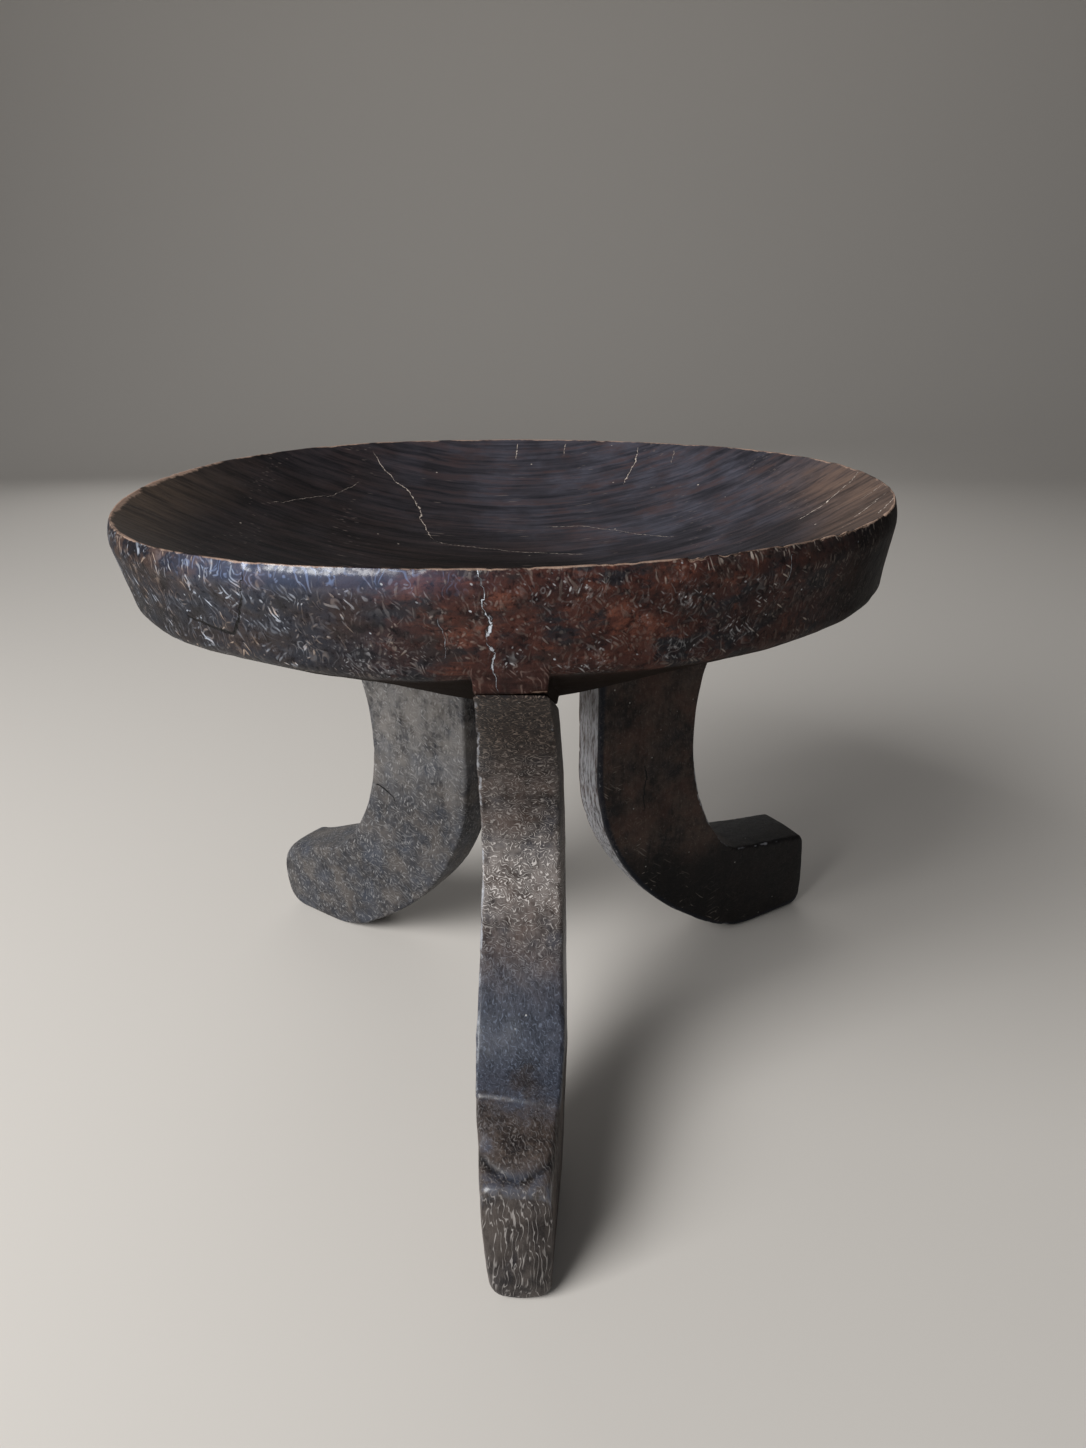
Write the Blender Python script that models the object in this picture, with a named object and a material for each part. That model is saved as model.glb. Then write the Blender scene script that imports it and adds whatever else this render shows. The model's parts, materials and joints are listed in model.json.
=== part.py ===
"""A three-legged dished stool of dark, hand-carved hardwood.

The seat is a round dish with an upright outer wall and a conical underside that carries three bosses.
Under each boss stands a leg like a thick plank on edge: it narrows at the waist, sweeps outwards and ends
in a blunt toe. Each leg bears with a slanting shoulder on its boss, and its tenon fills a blind mortise.
Metres, +Z up. The origin is on the floor, in the middle of the stool's bounding box.
"""

import math

import bmesh
import bpy
from mathutils import Vector
from mathutils.geometry import interpolate_bezier

# Seat
RIM_RADIUS = 0.190
RIM_HEIGHT = 0.323
RIM_WIDTH = 0.011
WALL_HEIGHT = 0.0415
WALL_LEAN = 0.003
WALL_FOOT_ROUND = 0.008
DISH_DEPTH = 0.050
DISH_POWER = 2.3
UNDERSIDE_SLOPE = 24.3
HUB_RADIUS = 0.036

# Bosses under the seat, one above each leg
BOSS_DROP = 0.008
BOSS_INSET = 0.002
BOSS_LEDGE = 0.006
BOSS_INNER_WIDTH = 0.034
BOSS_OUTER_WIDTH = 0.027

# Where the legs stand: their middle lies beside the seat's, and they are turned a little about it
LEG_OFFSET = 0.0109
LEG_TURN = -1.4
LEG_ANGLES = {"leg_front": -90.0, "leg_rear_right": 30.0, "leg_rear_left": 150.0}

# Head, stem and ankle, alike on every leg. Radii run outwards from the legs' middle
HEAD_SETBACK = 0.004
HEAD_LIP = 0.003
STEM_INNER = 0.039
STEM_LENGTH = 0.059
WAIST_RADIUS = 0.1045
WAIST_DROP = 0.049
HEAD_THICKNESS = 0.029
WAIST_THICKNESS = 0.037
ANKLE_THICKNESS = 0.043
STEM_INNER_THICKNESS = 0.026
ANKLE_INNER_THICKNESS = 0.033
LEG_EDGE_ROUND = 0.004

# Feet, carved a little differently on each leg. Lengths run back from the end of the toe
TOE_REACH = {"leg_front": 0.2145, "leg_rear_right": 0.2155, "leg_rear_left": 0.202}
TOE_HEIGHT = {"leg_front": 0.056, "leg_rear_right": 0.063, "leg_rear_left": 0.052}
TOE_LEAN = {"leg_front": 0.010, "leg_rear_right": 0.006, "leg_rear_left": 0.002}
TOE_ROUND = {"leg_front": 0.005, "leg_rear_right": 0.007, "leg_rear_left": 0.013}
TOE_THICKNESS = {"leg_front": 0.032, "leg_rear_right": 0.038, "leg_rear_left": 0.039}
INSTEP_LENGTH = {"leg_front": 0.0585, "leg_rear_right": 0.0635, "leg_rear_left": 0.044}
INSTEP_RISE = {"leg_front": 0.010, "leg_rear_right": 0.0065, "leg_rear_left": 0.0145}
SOLE_LENGTH = {"leg_front": 0.0645, "leg_rear_right": 0.0625, "leg_rear_left": 0.059}
SOLE_THINNING = 0.004
CREST_ROUND = 0.004

# Joints between the legs and the seat
TENON_SETBACK = 0.009
TENON_LENGTH = 0.046
TENON_THICKNESS = 0.018
TENON_ROOT = 0.008
WEB_OVER_MORTISE = 0.018
JOINT_CLEARANCE = 0.0003

# How strongly the leg's curves are drawn out at their ends, as shares of each curve's run and drop
FLARE_TIP_PULL = (0.75, 0.12)
FLARE_WAIST_PULL = 0.38
WAIST_PULL = 0.50
INSTEP_PULL = (0.47, 0.02)
KNEE_PULL = 0.37
HEEL_PULL = (0.66, 0.26)
ANKLE_PLACE = 0.7

# How finely round shapes are divided, and the largest share of a side that a rounded corner takes
TURN_STEPS = 72
DISH_STEPS = 12
ROUND_STEPS = 4
HEAD_STEPS = 7
SWEEP_STEPS = 11
FOOT_STEPS = 3
TOE_STEPS = 2
CORNER_STEPS = 2
CORNER_SHARE = 0.45
RIM_INNER_ANGLE = 140
SHARP_ANGLE = 35
MERGE_DISTANCE = 1e-6

# Finish
SEAT_COLOUR = (0.040, 0.024, 0.018)
LEG_COLOURS = {"leg_front": (0.075, 0.066, 0.060), "leg_rear_right": (0.040, 0.030, 0.025),
               "leg_rear_left": (0.095, 0.085, 0.080)}
SEAT_ROUGHNESS = 0.45
LEG_ROUGHNESS = 0.60


def clear_scene():
    for item in list(bpy.data.objects):
        bpy.data.objects.remove(item)


def wood(name, colour, roughness):
    material = bpy.data.materials.new(name)
    material.use_nodes = True
    shader = material.node_tree.nodes["Principled BSDF"]
    shader.inputs["Base Color"].default_value = (*colour, 1.0)
    shader.inputs["Roughness"].default_value = roughness
    shader.inputs["Metallic"].default_value = 0.0
    return material


def add_object(name, shape):
    """Makes an object of a bmesh, with its faces pointing out and its round faces smooth."""
    bmesh.ops.recalc_face_normals(shape, faces=shape.faces)
    mesh = bpy.data.meshes.new(name)
    shape.to_mesh(mesh)
    shape.free()
    mesh.shade_smooth()
    mesh.set_sharp_from_angle(angle=math.radians(SHARP_ANGLE))
    item = bpy.data.objects.new(name, mesh)
    bpy.context.scene.collection.objects.link(item)
    return item


def add_tool(name, shape):
    """Makes a solid that only joins or cuts another one, and isn't a piece of the stool."""
    tool = add_object(name, shape)
    tool.hide_render = True
    tool.display_type = "WIRE"
    return tool


def add_boolean(item, operation, tool):
    modifier = item.modifiers.new(tool.name, "BOOLEAN")
    modifier.operation = operation
    modifier.solver = "EXACT"
    modifier.object = tool


def place_at_leg(item, leg):
    """Stands a shape drawn along +X on the legs' middle, turned the way its leg points."""
    item.location.x = LEG_OFFSET
    item.rotation_euler.z = math.radians(LEG_ANGLES[leg] + LEG_TURN)
    return item


def arc(centre, radius, start, end, steps):
    """Points of a circular arc in a plane, from one angle to another in degrees."""
    angles = [math.radians(start + (end - start) * step / steps) for step in range(steps + 1)]
    return [Vector((centre[0] + radius * math.cos(a), centre[1] + radius * math.sin(a))) for a in angles]


def mix(a, b, share):
    return a + (b - a) * share


# Seat

def wall_foot():
    """Radius and height of the bottom edge of the seat's outer wall."""
    return RIM_RADIUS - WALL_LEAN, RIM_HEIGHT - WALL_HEIGHT


def underside_rise():
    """Rise of the conical underside for each metre outwards."""
    return math.tan(math.radians(UNDERSIDE_SLOPE))


def dish_floor():
    return RIM_HEIGHT - DISH_DEPTH


def seat_profile():
    """Half of the seat's section: dish from the middle outwards, rim, wall, underside and back again."""
    inner_edge = RIM_RADIUS - RIM_WIDTH
    dish = []
    for step in range(DISH_STEPS):
        share = step / DISH_STEPS
        dish.append(Vector((inner_edge * share, dish_floor() + DISH_DEPTH * share ** DISH_POWER)))
    rim_round = RIM_WIDTH / 2
    rim = arc((RIM_RADIUS - rim_round, RIM_HEIGHT - rim_round), rim_round, RIM_INNER_ANGLE, 0, ROUND_STEPS)
    foot_radius, foot_height = wall_foot()
    foot = arc((foot_radius - WALL_FOOT_ROUND, foot_height + WALL_FOOT_ROUND), WALL_FOOT_ROUND,
               0, UNDERSIDE_SLOPE - 90, ROUND_STEPS)
    hub_height = foot_height - (foot_radius - HUB_RADIUS) * underside_rise()
    return dish + rim + foot + [Vector((HUB_RADIUS, hub_height)), Vector((0.0, hub_height))]


def turned_solid(profile):
    """Turns a half section, whose ends lie on the axis, right round the Z axis."""
    shape = bmesh.new()
    points = [shape.verts.new((point.x, 0.0, point.y)) for point in profile]
    edges = [shape.edges.new(pair) for pair in zip(points, points[1:])]
    bmesh.ops.spin(shape, geom=points + edges, axis=(0, 0, 1), angle=math.tau, steps=TURN_STEPS,
                   use_merge=True)
    bmesh.ops.remove_doubles(shape, verts=shape.verts, dist=MERGE_DISTANCE)
    return shape


def boss_reach(leg):
    """Radius, from the legs' middle, at which a boss ends just inside the foot of the seat's wall."""
    edge = wall_foot()[0] - BOSS_INSET
    angle = math.radians(LEG_ANGLES[leg] + LEG_TURN)
    return math.sqrt(edge ** 2 - (LEG_OFFSET * math.sin(angle)) ** 2) - LEG_OFFSET * math.cos(angle)


def bearing_height(leg, radius):
    """Height of the slanting face under a boss, at a radius from the legs' middle."""
    return wall_foot()[1] - BOSS_DROP - (boss_reach(leg) - radius) * underside_rise()


def block(outline, half_widths):
    """A solid with an outline in a leg's side view and a half width across at each of its corners."""
    shape = bmesh.new()
    near = [shape.verts.new((point.x, -half, point.y)) for point, half in zip(outline, half_widths)]
    far = [shape.verts.new((point.x, half, point.y)) for point, half in zip(outline, half_widths)]
    shape.faces.new(near)
    shape.faces.new(far)
    bridge_rings(shape, near, far)
    return shape


def bridge_rings(shape, ring, other):
    count = len(ring)
    for i in range(count):
        j = (i + 1) % count
        shape.faces.new((ring[i], ring[j], other[j], other[i]))


def boss_block(leg):
    """The boss, which reaches up into the seat so that the two join."""
    inner = STEM_INNER - BOSS_LEDGE
    reach = boss_reach(leg)
    outline = [Vector((inner, bearing_height(leg, inner))),
               Vector((reach, bearing_height(leg, reach))),
               Vector((reach, wall_foot()[1] + WALL_FOOT_ROUND)),
               Vector((inner, dish_floor() - WEB_OVER_MORTISE))]
    inner_half, outer_half = BOSS_INNER_WIDTH / 2, BOSS_OUTER_WIDTH / 2
    return block(outline, [inner_half, outer_half, outer_half, inner_half])


def joint_block(leg, clearance):
    """The tenon, or with a clearance the mortise that takes it. It starts a little inside the leg's head."""
    inner = STEM_INNER + TENON_SETBACK
    outer = inner + TENON_LENGTH
    top = dish_floor() - WEB_OVER_MORTISE + clearance
    outline = [Vector((inner - clearance, bearing_height(leg, inner) - TENON_ROOT)),
               Vector((outer + clearance, bearing_height(leg, outer) - TENON_ROOT)),
               Vector((outer + clearance, top)), Vector((inner - clearance, top))]
    return block(outline, [TENON_THICKNESS / 2 + clearance] * len(outline))


def build_seat():
    seat = add_object("seat", turned_solid(seat_profile()))
    seat.data.materials.append(wood("dark dish wood", SEAT_COLOUR, SEAT_ROUGHNESS))
    for leg in LEG_ANGLES:
        boss = add_tool(f"boss_over_{leg}", boss_block(leg))
        add_boolean(seat, "UNION", place_at_leg(boss, leg))
    for leg in LEG_ANGLES:
        mortise = add_tool(f"mortise_for_{leg}", joint_block(leg, JOINT_CLEARANCE))
        add_boolean(seat, "DIFFERENCE", place_at_leg(mortise, leg))
    return seat


# Legs

def curve(start, start_pull, end_pull, end, sections):
    """Points of a cubic curve in side view. Each pull moves a handle from its end towards the other one."""
    span = end - start
    start_handle = start + Vector((span.x * start_pull[0], span.y * start_pull[1]))
    end_handle = end - Vector((span.x * end_pull[0], span.y * end_pull[1]))
    return interpolate_bezier(start, start_handle, end_handle, end, sections + 1)


def line(start, end, sections):
    return [mix(start, end, step / sections) for step in range(sections + 1)]


def leg_edges(leg):
    """The leg's inner and outer edges in side view, point by point from the head to the toe."""
    tip_radius = boss_reach(leg) - HEAD_SETBACK
    head_inner = Vector((STEM_INNER, bearing_height(leg, STEM_INNER) - JOINT_CLEARANCE))
    head_tip = Vector((tip_radius, bearing_height(leg, tip_radius) - JOINT_CLEARANCE))
    lip = head_tip - Vector((0.0, HEAD_LIP))
    knee = head_inner - Vector((0.0, STEM_LENGTH))
    waist = Vector((WAIST_RADIUS, head_inner.y - WAIST_DROP))
    reach = TOE_REACH[leg]
    heel = Vector((reach - SOLE_LENGTH[leg], 0.0))
    instep = Vector((reach - INSTEP_LENGTH[leg], TOE_HEIGHT[leg] + INSTEP_RISE[leg]))
    crest = Vector((reach - TOE_LEAN[leg] - CREST_ROUND, TOE_HEIGHT[leg]))
    sole_end = Vector((reach - TOE_ROUND[leg], 0.0))

    inner = line(head_inner, knee, HEAD_STEPS)
    inner += curve(knee, (0.0, KNEE_PULL), HEEL_PULL, heel, SWEEP_STEPS)[1:]
    inner += line(heel, sole_end, FOOT_STEPS)[1:]
    inner += arc((sole_end.x, TOE_ROUND[leg]), TOE_ROUND[leg], 270, 360, TOE_STEPS)[1:]
    outer = [head_tip]
    outer += curve(lip, FLARE_TIP_PULL, (0.0, FLARE_WAIST_PULL), waist, HEAD_STEPS - 1)
    outer += curve(waist, (0.0, WAIST_PULL), INSTEP_PULL, instep, SWEEP_STEPS)[1:]
    outer += line(instep, crest, FOOT_STEPS)[1:]
    outer += arc((crest.x, crest.y - CREST_ROUND), CREST_ROUND, 90, 0, TOE_STEPS)[1:]
    return inner, outer


def leg_thickness(leg, index, last):
    """Thickness of a section at the leg's two edges: it swells down to the ankle and narrows again."""
    toe = TOE_THICKNESS[leg]
    stations = [(0, HEAD_THICKNESS, STEM_INNER_THICKNESS),
                (HEAD_STEPS, WAIST_THICKNESS, STEM_INNER_THICKNESS),
                (HEAD_STEPS + SWEEP_STEPS * ANKLE_PLACE, ANKLE_THICKNESS, ANKLE_INNER_THICKNESS),
                (last, toe, toe - SOLE_THINNING)]
    for above, below in zip(stations, stations[1:]):
        if index <= below[0]:
            share = (index - above[0]) / (below[0] - above[0])
            return mix(above[1], below[1], share), mix(above[2], below[2], share)


def rounded_section(depth, outer_half, inner_half):
    """A four-sided section with round corners, as distances from the inner edge and to either side."""
    radius = min(LEG_EDGE_ROUND, CORNER_SHARE * min(depth, outer_half, inner_half))
    outer_side, inner_side = outer_half - radius, inner_half - radius
    section = arc((depth - radius, outer_side), radius, 0, 90, CORNER_STEPS)
    section += arc((radius, inner_side), radius, 90, 180, CORNER_STEPS)
    section += arc((radius, -inner_side), radius, 180, 270, CORNER_STEPS)
    section += arc((depth - radius, -outer_side), radius, 270, 360, CORNER_STEPS)
    return section


def leg_body(leg):
    """Joins rounded sections, each spanning from the inner edge to the outer one, into one closed solid."""
    inner, outer = leg_edges(leg)
    shape = bmesh.new()
    rings = []
    for index, (low, high) in enumerate(zip(inner, outer)):
        depth = (high - low).length
        outer_thickness, inner_thickness = leg_thickness(leg, index, len(inner) - 1)
        ring = []
        for point in rounded_section(depth, outer_thickness / 2, inner_thickness / 2):
            side_view = mix(low, high, point.x / depth)
            ring.append(shape.verts.new((side_view.x, point.y, side_view.y)))
        rings.append(ring)
    for ring, other in zip(rings, rings[1:]):
        bridge_rings(shape, ring, other)
    shape.faces.new(rings[0])
    shape.faces.new(rings[-1])
    return shape


def build_leg(leg):
    body = place_at_leg(add_object(leg, leg_body(leg)), leg)
    body.data.materials.append(wood(f"wood of {leg}", LEG_COLOURS[leg], LEG_ROUGHNESS))
    tenon = add_tool(f"tenon_of_{leg}", joint_block(leg, 0.0))
    add_boolean(body, "UNION", place_at_leg(tenon, leg))
    return body


def stand_on_origin(pieces):
    """Hangs everything on an empty that brings the floor under the middle of the pieces to the origin."""
    bpy.context.view_layer.update()
    corners = [piece.matrix_world @ vertex.co for piece in pieces for vertex in piece.data.vertices]
    middle_x = (min(corner.x for corner in corners) + max(corner.x for corner in corners)) / 2
    middle_y = (min(corner.y for corner in corners) + max(corner.y for corner in corners)) / 2
    stool = bpy.data.objects.new("stool", None)
    stool.location = (-middle_x, -middle_y, 0.0)
    for item in bpy.data.objects:
        if item != stool:
            item.parent = stool
    bpy.context.scene.collection.objects.link(stool)


def main():
    clear_scene()
    pieces = [build_seat()]
    for leg in LEG_ANGLES:
        pieces.append(build_leg(leg))
    stand_on_origin(pieces)


main()
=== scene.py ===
"""Looks of a three-legged stool carved from dark hardwood.

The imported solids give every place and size. Four carved pieces stand for them: the dished seat and three
legs. Each is a surface worked out on a grid from the section lines of the solids, with the waviness of hand
tools, chipped edges and cracks added. The wood is dark, satin and much handled. Metres, +Z up.
"""

import json
import math

import bpy
import numpy as np
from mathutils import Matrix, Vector

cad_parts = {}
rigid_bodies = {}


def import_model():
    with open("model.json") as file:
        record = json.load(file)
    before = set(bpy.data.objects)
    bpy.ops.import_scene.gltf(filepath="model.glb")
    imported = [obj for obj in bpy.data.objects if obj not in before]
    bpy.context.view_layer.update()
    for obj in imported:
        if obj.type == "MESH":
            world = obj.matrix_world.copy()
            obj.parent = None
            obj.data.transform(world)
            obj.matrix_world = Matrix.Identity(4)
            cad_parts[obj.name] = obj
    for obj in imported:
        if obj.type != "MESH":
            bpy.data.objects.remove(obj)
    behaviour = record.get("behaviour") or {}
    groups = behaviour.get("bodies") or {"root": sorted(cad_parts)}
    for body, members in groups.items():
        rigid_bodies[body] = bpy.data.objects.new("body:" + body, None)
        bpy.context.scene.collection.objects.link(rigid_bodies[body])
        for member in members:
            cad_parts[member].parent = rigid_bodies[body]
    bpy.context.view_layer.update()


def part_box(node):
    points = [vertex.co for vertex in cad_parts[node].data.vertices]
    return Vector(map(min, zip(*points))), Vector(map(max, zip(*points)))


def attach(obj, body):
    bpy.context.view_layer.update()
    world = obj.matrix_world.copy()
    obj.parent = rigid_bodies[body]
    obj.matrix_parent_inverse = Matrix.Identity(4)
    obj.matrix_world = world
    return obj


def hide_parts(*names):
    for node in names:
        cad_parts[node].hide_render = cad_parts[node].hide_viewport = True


for item in list(bpy.data.objects):
    bpy.data.objects.remove(item)
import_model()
LEGS = ("leg_front", "leg_rear_right", "leg_rear_left")


def each_leg(front, rear_right, rear_left):
    """The values of the three legs, under their names."""
    return dict(zip(LEGS, (front, rear_right, rear_left)))


# Seat, as in the solids: the axis and the radius come from the frame
SEAT_LOW, SEAT_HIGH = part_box("seat")
SEAT_AXIS = np.array([(SEAT_LOW.x + SEAT_HIGH.x) / 2, (SEAT_LOW.y + SEAT_HIGH.y) / 2, 0.0])
RIM_RADIUS = (SEAT_HIGH.x - SEAT_LOW.x) / 2
RIM_HEIGHT = 0.323
WALL_HEIGHT = 0.0415
WALL_LEAN = 0.003
FOOT_ROUND = 0.008
DISH_DEPTH = 0.050
DISH_POWER = 2.3
UNDERSIDE_RISE = math.tan(math.radians(24.3))
HUB_RADIUS = 0.036
FOOT_RADIUS = RIM_RADIUS - WALL_LEAN
FOOT_HEIGHT = RIM_HEIGHT - WALL_HEIGHT
DISH_FLOOR = RIM_HEIGHT - DISH_DEPTH

# Rim of the carved seat: part of an ellipse that starts at a sharp inner edge
RIM_DEPTH = 0.004
RIM_DROP = 0.010
RIM_START = math.radians(60)
# Hand-cut wobble of the rim: cosine and sine sizes for one, two and three waves round the circle
RIM_SPREAD = 0.0015
RIM_OFFSET_WAVES = [(-0.0017, 0.0), (-0.0006, -0.0010)]
RIM_LIFT_WAVES = [(0.0027, 0.0008), (-0.0004, -0.0010), (0.0004, 0.0011)]
# How far the foot of the wall hangs down at the left and just left of the front leg, and how far it is
# raised all round
FOOT_DROP = 0.0036
FOOT_SAG = 0.0024
FOOT_RAISE = 0.0003
# Waviness left by the tools, as depth and size of each wave, and the depth of chips and cracks
SEAT_WAVES = ((0.0006, 0.045), (0.00026, 0.013), (0.00009, 0.0042))
LEG_WAVES = ((0.0004, 0.040), (0.0003, 0.012), (0.0001, 0.004))
SEAT_CHIP, LEG_CHIP = 0.0012, 0.0011
WALL_CRACK_DEPTH, DISH_CRACK_DEPTH, PLUG_CRACK_DEPTH, LEG_CRACK_DEPTH = 0.0006, 0.0003, 0.0004, 0.0006
# Half width of a crack's groove in millimetres
GROOVE = 1.2
# Stretches of the seat's circle: middle, half width and softness of the ends, in degrees. Some of them carry
# painted shade on the wall, painted light and a painted sheen in the dish and a painted highlight on the rim
STRETCHES = {
    "low foot": (-152, 28, 14), "sagging foot": (-106, 12, 9), "chipped rim": (-52, 27, 12),
    "worn rim": (180, 26, 12), "pale rim left": (-145, 26, 12), "pale rim right": (-52, 24, 10),
    "scraped": (-58, 11, 6), "rust in front": (-84, 15, 9), "rust right": (-60, 14, 10),
    "bluing": (-135, 32, 14), "shaded right": (-14, 30, 12), "shaded left": (-152, 24, 12),
    "dish left": (192, 26, 20), "dish right": (-8, 26, 18), "dish back": (55, 55, 40),
    "polish_and_painted_highlight": (-111, 16, 9),
}

# Bosses under the seat
BOSS_DROP = 0.0045
BOSS_EDGE = FOOT_RADIUS - 0.002
BOSS_EDGE_ROUND = 0.0012
BOSS_FILLET = 0.0012
BOSS_INNER = 0.033
BOSS_HALF_WIDTHS = (0.0152, 0.0130)
BOSS_END_RUN = 0.006

# Where the legs stand: their middle lies beside the seat's axis
LEG_OFFSET = 0.0109
LEG_MIDDLE = SEAT_AXIS + np.array([LEG_OFFSET, 0.0, 0.0])
LEG_TURN = each_leg(math.radians(-91.4), math.radians(28.6), math.radians(148.6))

# Legs, as in the solids. Radii run outwards from the legs' middle, lengths back from the end of the toe
HEAD_SETBACK = 0.0008
HEAD_LIP = 0.0008
HEAD_RISE = 0.0047
STEM_INNER = 0.039
STEM_LENGTH = 0.059
WAIST_RADIUS = each_leg(0.1045, 0.1055, 0.1075)
WAIST_DROP = 0.049
TOE_REACH = each_leg(0.2145, 0.2155, 0.202)
TOE_HEIGHT = each_leg(0.056, 0.063, 0.0535)
TOE_LEAN = each_leg(0.010, 0.006, 0.002)
TOE_ROUND = each_leg(0.005, 0.006, 0.011)
INSTEP_LENGTH = each_leg(0.0585, 0.0635, 0.044)
INSTEP_RISE = each_leg(0.010, 0.0065, 0.0105)
SOLE_LENGTH = each_leg(0.0645, 0.0625, 0.059)
CREST_ROUND = each_leg(0.0045, 0.004, 0.009)
TOP_CORNER = each_leg(0.0050, 0.0030, 0.0090)
# Heel: how many rows of the back curve and of the sole its rounding takes
HEEL_ROWS = (11, 16)
# Hollow across the top of the front toe: its radius at the leg's middle, how far it turns back at the
# sides, its depth and its half width
HOLLOW_RADIUS, HOLLOW_TURN, HOLLOW_DEPTH, HOLLOW_WIDTH = 0.1985, 0.009, 0.0015, 0.0029
# Small dent in the front toe's end: aside, height, half width and depth
TOE_DENT = (-0.002, 0.027, 0.004, 0.0012)
# Crease across the front instep: its radius at the leg's middle, its slant and the step down behind it
CREASE_RADIUS = 0.1630
CREASE_SLANT = 0.15
CREASE_STEP = 0.0010
FLARE_TIP_PULL = each_leg((0.55, 0.30), (0.82, 0.31), (0.82, 0.31))
FLARE_WAIST_PULL = (0.0, 0.38)
WAIST_PULL, INSTEP_PULL = (0.0, 0.50), (0.47, 0.02)
KNEE_PULL, HEEL_PULL = (0.0, 0.43), (0.66, 0.26)
# Thickness at the outer and the inner edge: at the head, the lip, the flare, the waist, the ankle, the
# instep, the crest and the toe's end
WAIST_PLACE, INSTEP_PLACE, CREST_PLACE, END_PLACE = 7, 18, 21, 23
THICKNESS_PLACES = (0.0, 1.0, 4.0, WAIST_PLACE, 14.7, INSTEP_PLACE, CREST_PLACE, END_PLACE)
OUTER_THICKNESS = each_leg((0.0252, 0.0272, 0.0355, 0.0385, 0.0440, 0.0410, 0.0320, 0.0300),
                           (0.0260, 0.0280, 0.0340, 0.0370, 0.0430, 0.0410, 0.0395, 0.0380),
                           (0.0260, 0.0280, 0.0340, 0.0370, 0.0430, 0.0415, 0.0400, 0.0390))
INNER_THICKNESS = each_leg((0.028, 0.028, 0.028, 0.028, 0.034, 0.033, 0.029, 0.026),
                           (0.026, 0.026, 0.026, 0.026, 0.033, 0.033, 0.034, 0.034),
                           (0.026, 0.026, 0.026, 0.026, 0.033, 0.033, 0.035, 0.035))
# How far aside the front leg leans at those places along its outer edge, along its inner edge and at the
# toe's sole
OUTER_BEND = {"leg_front": (0.0, 0.0, -0.0014, -0.0016, -0.0014, -0.0012, -0.0004, 0.0003)}
INNER_BEND = {"leg_front": (0.002, 0.003, 0.005, 0.0060, 0.0055, 0.0035, 0.0010, 0.0)}
TOE_SKEW = {"leg_front": 0.0022}

# How finely the surfaces are divided
DISH_ROWS, RIM_ROWS, WALL_ROWS, FOOT_ROWS, SLOPE_ROWS, HUB_ROWS = 48, 13, 21, 9, 28, 4
HEAD_ROWS, SWEEP_ROWS, SOLE_ROWS, TOE_ROWS, CAP_ROWS = 70, 150, 48, 12, 16
FACE_COLUMNS, EDGE_COLUMNS, CORNER_COLUMNS = 44, 26, 7

# Cracks: on the wall as angle in degrees and height, in the dish as x and y from the seat's axis
FILLED_CRACK = [
    (-91.8, 0.330), (-91.0, 0.321), (-90.4, 0.316), (-90.8, 0.3115), (-90.0, 0.304), (-90.5, 0.298),
    (-89.7, 0.293), (-89.9, 0.287), (-89.4, 0.277),
]
PLUG_CRACK = [
    (-116.8, 0.318), (-117.9, 0.307), (-119.3, 0.298), (-120.6, 0.292), (-124.1, 0.2925), (-128.8, 0.295),
]
WALL_CRACKS = [
    (FILLED_CRACK[:6], 1.0), (FILLED_CRACK[5:], 0.62),
    ([(-95.3, 0.307), (-94.8, 0.300), (-94.9, 0.291)], 0.3), ([(-55.9, 0.321), (-56.3, 0.310)], 0.6),
]
LONG_CRACK = [
    (-0.0985, 0.157), (-0.0908, 0.1435), (-0.0850, 0.1371), (-0.0782, 0.1291), (-0.0740, 0.1261),
    (-0.0685, 0.1198), (-0.0646, 0.1108), (-0.0604, 0.1016), (-0.0592, 0.0901), (-0.0536, 0.0778),
    (-0.0505, 0.0654), (-0.0467, 0.0577),
]
DISH_CRACKS = [
    (LONG_CRACK, 0.75),
    ([(-0.049, 0.058), (-0.0399, 0.0556), (-0.0137, 0.0524), (0.0176, 0.0452), (0.046, 0.0371)], 0.45),
    ([(-0.141, 0.054), (-0.128, 0.074), (-0.112, 0.094), (-0.099, 0.121)], 0.42),
    ([(0.016, 0.087), (0.041, 0.084), (0.064, 0.068), (0.096, 0.0375)], 0.45),
    ([(0.188, 0.0165), (0.1812, 0.0095), (0.1733, 0.0043), (0.1643, -0.0029), (0.1481, -0.0094)], 1.25),
    ([(0.187, -0.0225), (0.1810, -0.0252), (0.1747, -0.0264)], 1.2),
    ([(0.182, -0.042), (0.1739, -0.0457)], 1.1), ([(0.178, -0.0448), (0.1619, -0.0568)], 1.3),
    ([(0.1595, -0.0658), (0.1530, -0.0678)], 1.2),
    ([(0.180, -0.0575), (0.170, -0.072), (0.1638, -0.0825)], 1.0),
    ([(0.083, 0.164), (0.0803, 0.1516), (0.0733, 0.1373), (0.070, 0.128)], 0.9),
    ([(0.1065, 0.150), (0.1026, 0.137)], 0.7), ([(-0.0007, 0.186), (-0.0011, 0.170)], 0.7),
    ([(0.0337, 0.183), (0.0315, 0.171)], 0.6),
]

# Patches of whitish scrapes on the wall: angle, height, half width in degrees, half height, strength
WALL_SCRAPES = [
    (-69.7, 0.3110, 2.4, 0.0065, 1.0), (-69.2, 0.2915, 2.4, 0.0040, 1.0), (-62.4, 0.2965, 3.0, 0.0070, 0.8),
    (-80.5, 0.2868, 2.8, 0.0030, 1.0), (-78.6, 0.2950, 1.4, 0.0040, 0.7), (-82.0, 0.3165, 4.5, 0.0045, 0.8),
    (-73.5, 0.3090, 2.0, 0.0050, 0.5), (-87.6, 0.2905, 1.6, 0.0055, 1.0), (-84.2, 0.3070, 0.9, 0.0045, 0.6),
    (-59.7, 0.3090, 2.2, 0.0060, 0.6), (-103.0, 0.2900, 4.0, 0.0060, 0.5),
    (-90.9, 0.3150, 0.8, 0.0070, 0.8),
]

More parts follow.
